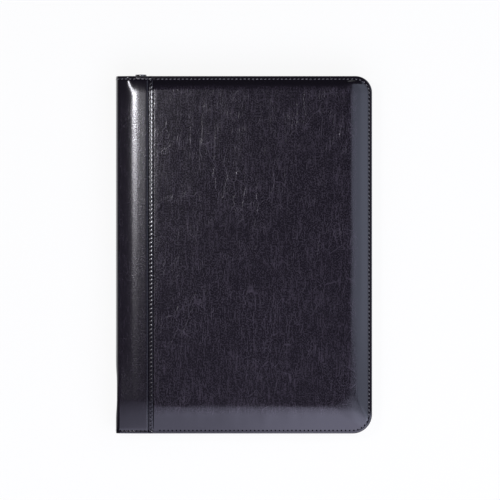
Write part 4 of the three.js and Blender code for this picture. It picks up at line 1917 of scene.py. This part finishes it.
@dataclass
class WritingPad:
    """The pad: backing board, pages, ruled top sheet and binding tape."""

    finishes: Finishes
    tape: float = 0.3
    tape_bend: float = 0.7

    def build(self) -> None:
        """Dresses the pad's plates and builds its tape."""
        dress_node("pad_backing", self.finishes.chipboard)
        dress_node("pad_paper", self.finishes.pages)
        dress_node("pad_top_sheet", self.finishes.ruled)
        self._tape()

    def _tape(self) -> None:
        """Folds the tape over the head of the pad, with soft bends."""
        box = Box.of("pad_binding_tape")
        bend = self.tape_bend
        turn = box.high[1] - self.tape / 2 - bend
        low, high = box.low[2] + self.tape / 2, box.high[2] - self.tape / 2
        path = np.concatenate(
            [
                [(box.low[1], low), (turn, low)],
                arc((turn, low + bend), bend, 270, 360, 7),
                arc((turn, high - bend), bend, 0, 90, 7),
                [(box.low[1], high)],
            ]
        )
        middle, normal, _ = sweep(path, spaced(box.low[0], box.high[0], 8.0, [0.0, 0.1, 0.3]), axis=0)
        writer = MeshWriter()
        slab(writer, middle, normal, self.tape)
        writer.ride("binding_tape_fold", self.finishes.tape, Body.PAD, "pad_binding_tape")


@dataclass
class Pen:
    """The pen, turned about its own axis, and the elastic loop that holds it."""

    finishes: Finishes
    steps: int = 56
    bore: float = 3.5
    clip: float = 0.8
    band: float = 0.8
    wire: float = 0.28

    def __post_init__(self) -> None:
        """Reads the pen's axis and radius from its barrel."""
        box = Box.of("pen_upper_barrel")
        self.axis = ((box.low[0] + box.high[0]) / 2, (box.low[2] + box.high[2]) / 2)
        self.radius = (box.high[0] - box.low[0]) / 2

    def build(self) -> None:
        """Builds the pen's shell, its moving parts and the loop."""
        f = self.finishes
        self._barrel("pen_barrel_lower", "pen_lower_barrel")
        self._barrel("pen_barrel_upper", "pen_upper_barrel")
        self._turn("pen_nose", self._nose(), f.plate, Body.PEN, "pen_nose_cone")
        self._turn("pen_ring", self._band(), f.plate, Body.PEN, "pen_centre_ring")
        self._turn("pen_cap_crown", self._crown(), f.plate, Body.PEN, "pen_crown")
        self._turn("pen_button", self._button(), f.dark_plate, Body.PLUNGER, "pen_plunger", hollow=False)
        self._clip()
        self._loop()
        dress_node("pen_cam", f.moulding)
        dress_node("pen_refill", f.tube)
        dress_node("pen_refill_tip", f.brass)
        self._spring()

    def _turn(
        self,
        name: str,
        profile: Sequence[tuple[float, float]],
        finish: Finish,
        body: Body,
        node: str,
        hollow: bool = True,
    ) -> None:
        """Turns a profile about the pen's axis, with crisp shading at its corners.

        Args:
            name: the object's name.
            profile: its points, each a radius and a place along the axis.
            finish: its finish.
            body: the body that it moves with.
            node: the CAD node that it stands for.
            hollow: whether the profile closes on itself; otherwise both its ends are flat.
        """
        radius, y = np.array(profile).T[..., None]
        angle = np.linspace(0, TURN, self.steps, endpoint=False)
        x = self.axis[0] + radius * np.cos(angle)
        z = self.axis[1] + radius * np.sin(angle)
        points = np.stack([x, np.broadcast_to(y, x.shape), z], axis=-1)
        place = np.stack(np.broadcast_arrays(angle * 4.8, y), axis=-1)
        writer = MeshWriter()
        if hollow:
            numbers = writer.put(points, 0.0, place)
            writer.quads(np.concatenate([numbers, numbers[:1]]), wrap=True)
        else:
            writer.tube(points, place)
        piece = writer.ride(name, finish, body, node)
        piece.data.set_sharp_from_angle(angle=math.radians(38))

    def _barrel(self, name: str, node: str) -> None:
        """Makes one tube of the barrel with eased ends.

        Args:
            name: the object's name.
            node: the CAD node that it stands for.
        """
        ease, radius = 0.18, self.radius
        box = Box.of(node)
        y0, y1 = box.low[1], box.high[1]
        profile = [
            (self.bore, y0),
            (radius - ease, y0),
            (radius, y0 + ease),
            (radius, (y0 + y1) / 2),
            (radius, y1 - ease),
            (radius - ease, y1),
            (self.bore, y1),
        ]
        self._turn(name, profile, self.finishes.lacquer, Body.PEN, node)

    def _nose(self) -> list[tuple[float, float]]:
        """The nose cone's profile, with a slight belly."""
        box = Box.of("pen_nose_cone")
        tip, top = box.low[1], box.high[1]
        mouth, tip_radius = 1.35, 1.7
        outer = [
            (
                tip_radius + (self.radius - tip_radius) * math.sin(t * math.pi / 2) ** 0.85,
                tip + 0.15 + (top - tip - 0.15) * t,
            )
            for t in np.linspace(0, 1, 14)
        ]
        return [(mouth, tip), (1.55, tip), *outer, (3.05, top), (3.05, tip + 5), (mouth, tip + 5)]

    def _band(self) -> list[tuple[float, float]]:
        """The centre ring's profile, with two beads."""
        box = Box.of("pen_centre_ring")
        y0, y1 = box.low[1], box.high[1]
        radius = (box.high[0] - box.low[0]) / 2
        beads = [
            (radius - 0.22 * (1 - abs(math.sin(t * TURN)) ** 0.5), y0 + (y1 - y0) * t)
            for t in np.linspace(0, 1, 17)
        ]
        return [(self.bore, y0), *beads, (self.bore, y1)]

    def _crown(self) -> list[tuple[float, float]]:
        """The crown's profile: a band, then a soft taper."""
        box, radius = Box.of("pen_crown"), self.radius
        y0, y1 = box.low[1], box.high[1]
        taper = [(radius - 0.5 * t * t, y0 + 1.4 + (y1 - y0 - 1.7) * t) for t in np.linspace(0, 1, 8)]
        return [
            (2.9, y0),
            (radius - 0.12, y0),
            (radius, y0 + 0.12),
            (radius, y0 + 1.0),
            (radius - 0.15, y0 + 1.15),
            *taper,
            (radius - 0.75, y1),
            (3.9, y1),
            (3.9, y0 + 1),
            (2.9, y0 + 1),
        ]

    @staticmethod
    def _button() -> list[tuple[float, float]]:
        """The plunger's profile, with a domed end."""
        box = Box.of("pen_plunger")
        foot, top = box.low[1], box.high[1]
        radius, stem, shoulder = 3.6, 2.6, foot + 13.0
        dome = arc((radius - 0.3, top - 0.4), 0.3, 0, 80, 6)
        start = [(stem, foot), (stem, shoulder), (radius, shoulder)]
        return [*start, *dome, (radius - 1.8, top - 0.03), (0.3, top)]

    def _clip(self) -> None:
        """Makes the spring clip: a tapered strip that stands off the barrel and dips at its foot."""
        box = Box.of("pen_clip")
        base, y0, y1 = box.low[2], box.low[1], box.high[1]
        rail = box.high[2] - self.clip / 2
        line = [
            (y1 - 0.3, base + 0.2),
            (y1 - 0.5, rail - 0.6),
            (y1 - 1.3, rail),
            (y1 - 6.0, rail),
            (y0 + 9.0, rail - 0.25),
            (y0 + 5.0, rail - 0.75),
            (y0 + 3.0, base + self.clip / 2 + 0.25),
            (y0 + 1.5, rail - 0.7),
            (y0 + 0.2, rail - 0.1),
        ]
        path = smooth_line(line)
        half = (box.high[0] - box.low[0]) / 2 * (1 - 0.28 * np.linspace(0, 1, len(path)))
        across = np.sin(np.linspace(-1, 1, 11) * math.pi / 2)[:, None]
        x = self.axis[0] + across * half
        middle = np.stack([x, np.broadcast_to(path[:, 0], x.shape), path[:, 1] - 0.12 * across**2], axis=-1)
        normal = np.zeros_like(middle)
        normal[..., 1:] = -normals_of(path)
        share = np.sqrt(np.maximum(1 - across**4, 0.05))
        writer = MeshWriter()
        slab(writer, middle, normal, self.clip * 0.9 * share)
        writer.ride("pen_spring_clip", self.finishes.plate, Body.PEN, "pen_clip")

    def _loop(self) -> None:
        """Makes the elastic loop: a band round the pen whose tail is sewn to the gutter."""
        box = Box.of("pen_loop")
        radius = box.high[2] - self.axis[1] - self.band / 2
        ring = arc(self.axis, radius, -150, 210 - math.degrees(0.15), 60)
        seat = box.low[2] + self.band / 2
        path = np.concatenate([ring, [(self.axis[0] - 4.0, seat), (box.low[0] + 3.0, seat)]])
        path[:, 1] = np.maximum(path[:, 1], seat)
        ys = spaced(box.low[1], box.high[1], 0.7, [0.0, 0.15, 0.4])
        middle, normal, surface = sweep(path, ys)
        rib = 1 + 0.1 * np.cos(TURN * ys / 1.2)
        share = edge_share(np.minimum(ys - box.low[1], box.high[1] - ys), 0.4)
        writer = MeshWriter()
        slab(writer, middle, normal, self.band * 0.85 * share * rib, 0.0, surface)
        writer.ride("elastic_pen_loop", self.finishes.elastic, Body.BACK, "pen_loop")

    def _spring(self) -> None:
        """Makes the return spring, wound in wire."""
        box = Box.of("pen_spring")
        turns, steps = 12, 16
        radius = (box.high[0] - box.low[0]) / 2 - self.wire
        angle = np.linspace(0, TURN * turns, turns * steps + 1)
        out = np.stack([np.cos(angle), np.zeros_like(angle), np.sin(angle)], axis=1)
        centre = np.array([self.axis[0], 0.0, self.axis[1]]) + out * radius
        centre[:, 1] = np.linspace(box.low[1] + self.wire, box.high[1] - self.wire, len(angle))
        turn = np.linspace(0, TURN, 8, endpoint=False)[:, None]
        section = np.cos(turn) * out[:, None, :] + np.sin(turn) * np.array([0.0, 1.0, 0.0])
        writer = MeshWriter()
        writer.tube(centre[:, None, :] + self.wire * section)
        writer.ride("pen_return_spring", self.finishes.steel, Body.PEN, "pen_spring")


@dataclass
class Hidden:
    """The boards, the padding and the clear window, which keep their CAD shapes."""

    finishes: Finishes

    def build(self) -> None:
        """Gives each its finish."""
        dress_node("back_board", self.finishes.greyboard)
        dress_node("front_board", self.finishes.greyboard)
        dress_node("front_foam", self.finishes.foam)
        dress_node("id_window", self.finishes.vinyl)


# Studio


class Side(Enum):
    """The side of the cover that a card stands beyond."""

    FORE = "fore-edge"
    FOOT = "foot"


@dataclass
class Studio:
    """The table top, the lamps and the camera."""

    finishes: Finishes
    camera_height: float = 2.6
    picture_width: float = 0.3197
    aim: tuple[float, float] = (0.00396, 0.00307)
    face_height: float = 0.019
    sensor: float = 36.0
    table_reach: float = 6.0

    def build(self) -> None:
        """Builds the studio."""
        self._camera()
        self._floor()
        self._lamps()
        self._world()

    def _camera(self) -> None:
        """Sets a long lens straight above the closed cover."""
        data = bpy.data.cameras.new("camera")
        distance = self.camera_height - self.face_height
        data.lens = self.sensor * distance / self.picture_width
        data.sensor_width = self.sensor
        data.clip_end = 50.0
        camera = bpy.data.objects.new("camera", data)
        camera.location = (*self.aim, self.camera_height)
        bpy.context.scene.collection.objects.link(camera)
        bpy.context.scene.camera = camera

    def _floor(self) -> None:
        """Lays a wide table top just under the back cover."""
        far = self.table_reach
        mesh = bpy.data.meshes.new("table")
        corners = [(-far, -far, 0.0), (far, -far, 0.0), (far, far, 0.0), (-far, far, 0.0)]
        mesh.from_pydata(corners, [], [(0, 1, 2, 3)])
        mesh.materials.append(self.finishes.table.material)
        table = bpy.data.objects.new("table", mesh)
        table.location.z = -0.0001
        bpy.context.scene.collection.objects.link(table)

    def _lamp(
        self, name: str, at: Point, aim: Point, size: tuple[float, float], radiance: float, colour: Colour
    ) -> None:
        """Sets up one softbox.

        Args:
            name: the lamp's name.
            at: where it stands, in metres.
            aim: the point that it faces.
            size: its width and height.
            radiance: how bright its face looks.
            colour: its colour.
        """
        data = bpy.data.lights.new(name, "AREA")
        data.color = colour
        data.shape = "RECTANGLE"
        data.size, data.size_y = size
        data.energy = radiance * math.pi * size[0] * size[1]
        lamp = bpy.data.objects.new(name, data)
        lamp.location = at
        lamp.rotation_euler = (Vector(aim) - Vector(at)).to_track_quat("-Z", "Y").to_euler()
        lamp.visible_camera = False
        bpy.context.scene.collection.objects.link(lamp)

    def _card(
        self,
        name: str,
        side: Side,
        edges: tuple[tuple[float, float], tuple[float, float]],
        span: tuple[float, float],
        radiance: float,
        colour: Colour,
    ) -> None:
        """Sets up one leaning card.

        Args:
            name: the card's name.
            side: the side of the cover that it stands beyond.
            edges: the distance and height of its near upper edge and of its far lower one.
            span: where it begins and ends along that side.
            radiance: how bright its face looks.
            colour: its colour.
        """
        (near, top), (far, bottom) = edges
        middle = (span[0] + span[1]) / 2
        reach, height = (near + far) / 2, (top + bottom) / 2
        drop, out = top - bottom, far - near
        at, aim = (reach, middle, height), (reach - drop, middle, height - out)
        if side is Side.FOOT:
            at, aim = (middle, -reach, height), (middle, drop - reach, height - out)
        self._lamp(name, at, aim, (span[1] - span[0], math.hypot(drop, out)), radiance, colour)

    def _lamps(self) -> None:
        """Sets up the cards beyond the fore-edge and the foot, and the lamps over the spine."""
        cool, violet, plain = (0.87, 0.95, 1.13), (0.94, 0.93, 1.15), (1.0, 0.985, 0.97)
        fore_far, foot_far, corner_far = (1.345, 0.77), (1.2, 0.88), (0.58, 1.24)
        fore_cards = [
            ((0.41, 1.47), 1.01, 0.5),
            ((0.5, 1.47), 1.01, 0.5),
            ((0.6, 1.47), 0.15, 0.4),
            ((0.85, 1.27), 1.01, 0.5),
        ]
        for number, (near, end, radiance) in enumerate(fore_cards):
            self._card(f"fore_card_{number}", Side.FORE, (near, fore_far), (-0.1, end), radiance, cool)
        for number, (near, radiance) in enumerate([(0.28, 0.46), (0.42, 0.46), (0.6, 0.57)]):
            edges = ((near, 1.43), foot_far)
            self._card(f"foot_card_{number}", Side.FOOT, edges, (-1.45, 0.95), radiance, violet)
        self._card("fore_card_low", Side.FORE, ((0.74, 1.35), fore_far), (-1.1, -0.1), 1.15, cool)
        self._card("foot_card_right", Side.FOOT, ((0.42, 1.42), foot_far), (0.01, 1.0), 1.28, violet)
        self._card("corner_card_high", Side.FOOT, ((0.19, 1.38), corner_far), (0.3, 1.35), 0.5, cool)
        self._card("corner_card_low", Side.FOOT, ((0.25, 1.36), corner_far), (0.36, 1.35), 0.4, cool)
        spine = (-0.07, 0.05, 0.02)
        steps = [
            (0.29, 0.1, 30.0),
            (0.205, 0.07, 56.0),
            (0.15, 0.04, 46.0),
            (0.11, 0.04, 16.5),
            (0.065, 0.05, 3.6),
            (0.01, 0.06, 1.1),
            (-0.06, 0.08, 0.3),
        ]
        for number, (y, length, radiance) in enumerate(steps):
            self._lamp(f"spine_lamp_{number}", (-0.4, y, 1.3), spine, (length, 0.12), radiance, plain)
        self._lamp("spine_fill", (-0.21, 0.17, 1.3), spine, (0.26, 0.18), 1.0, plain)
        self._lamp("foot_low_card", (0.5, -1.85, 0.9), (0.1, 0.0, 0.0), (3.4, 1.5), 0.85, plain)

    def _world(self) -> None:
        """Sets plain soft light from all round."""
        world = bpy.data.worlds.new("studio")
        world.use_nodes = True
        background = world.node_tree.nodes["Background"]
        background.inputs[0].default_value = (0.82, 0.84, 0.92, 1.0)
        background.inputs[1].default_value = 0.09
        bpy.context.scene.world = world


def main() -> None:
    """Loads the frame, then builds and dresses each sub-assembly in order."""
    logging.basicConfig(level=logging.INFO, format="%(name)s: %(message)s")
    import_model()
    scene = bpy.context.scene
    scene.view_settings.view_transform = "Standard"
    finishes = Finishes()
    sizes = Sizes()
    Studio(finishes).build()
    Covers(sizes, finishes).build()
    SpineStrip(sizes, finishes).build()
    Pockets(finishes).build()
    WritingPad(finishes).build()
    Pen(finishes).build()
    Hidden(finishes).build()


if __name__ == "__main__":
    main()
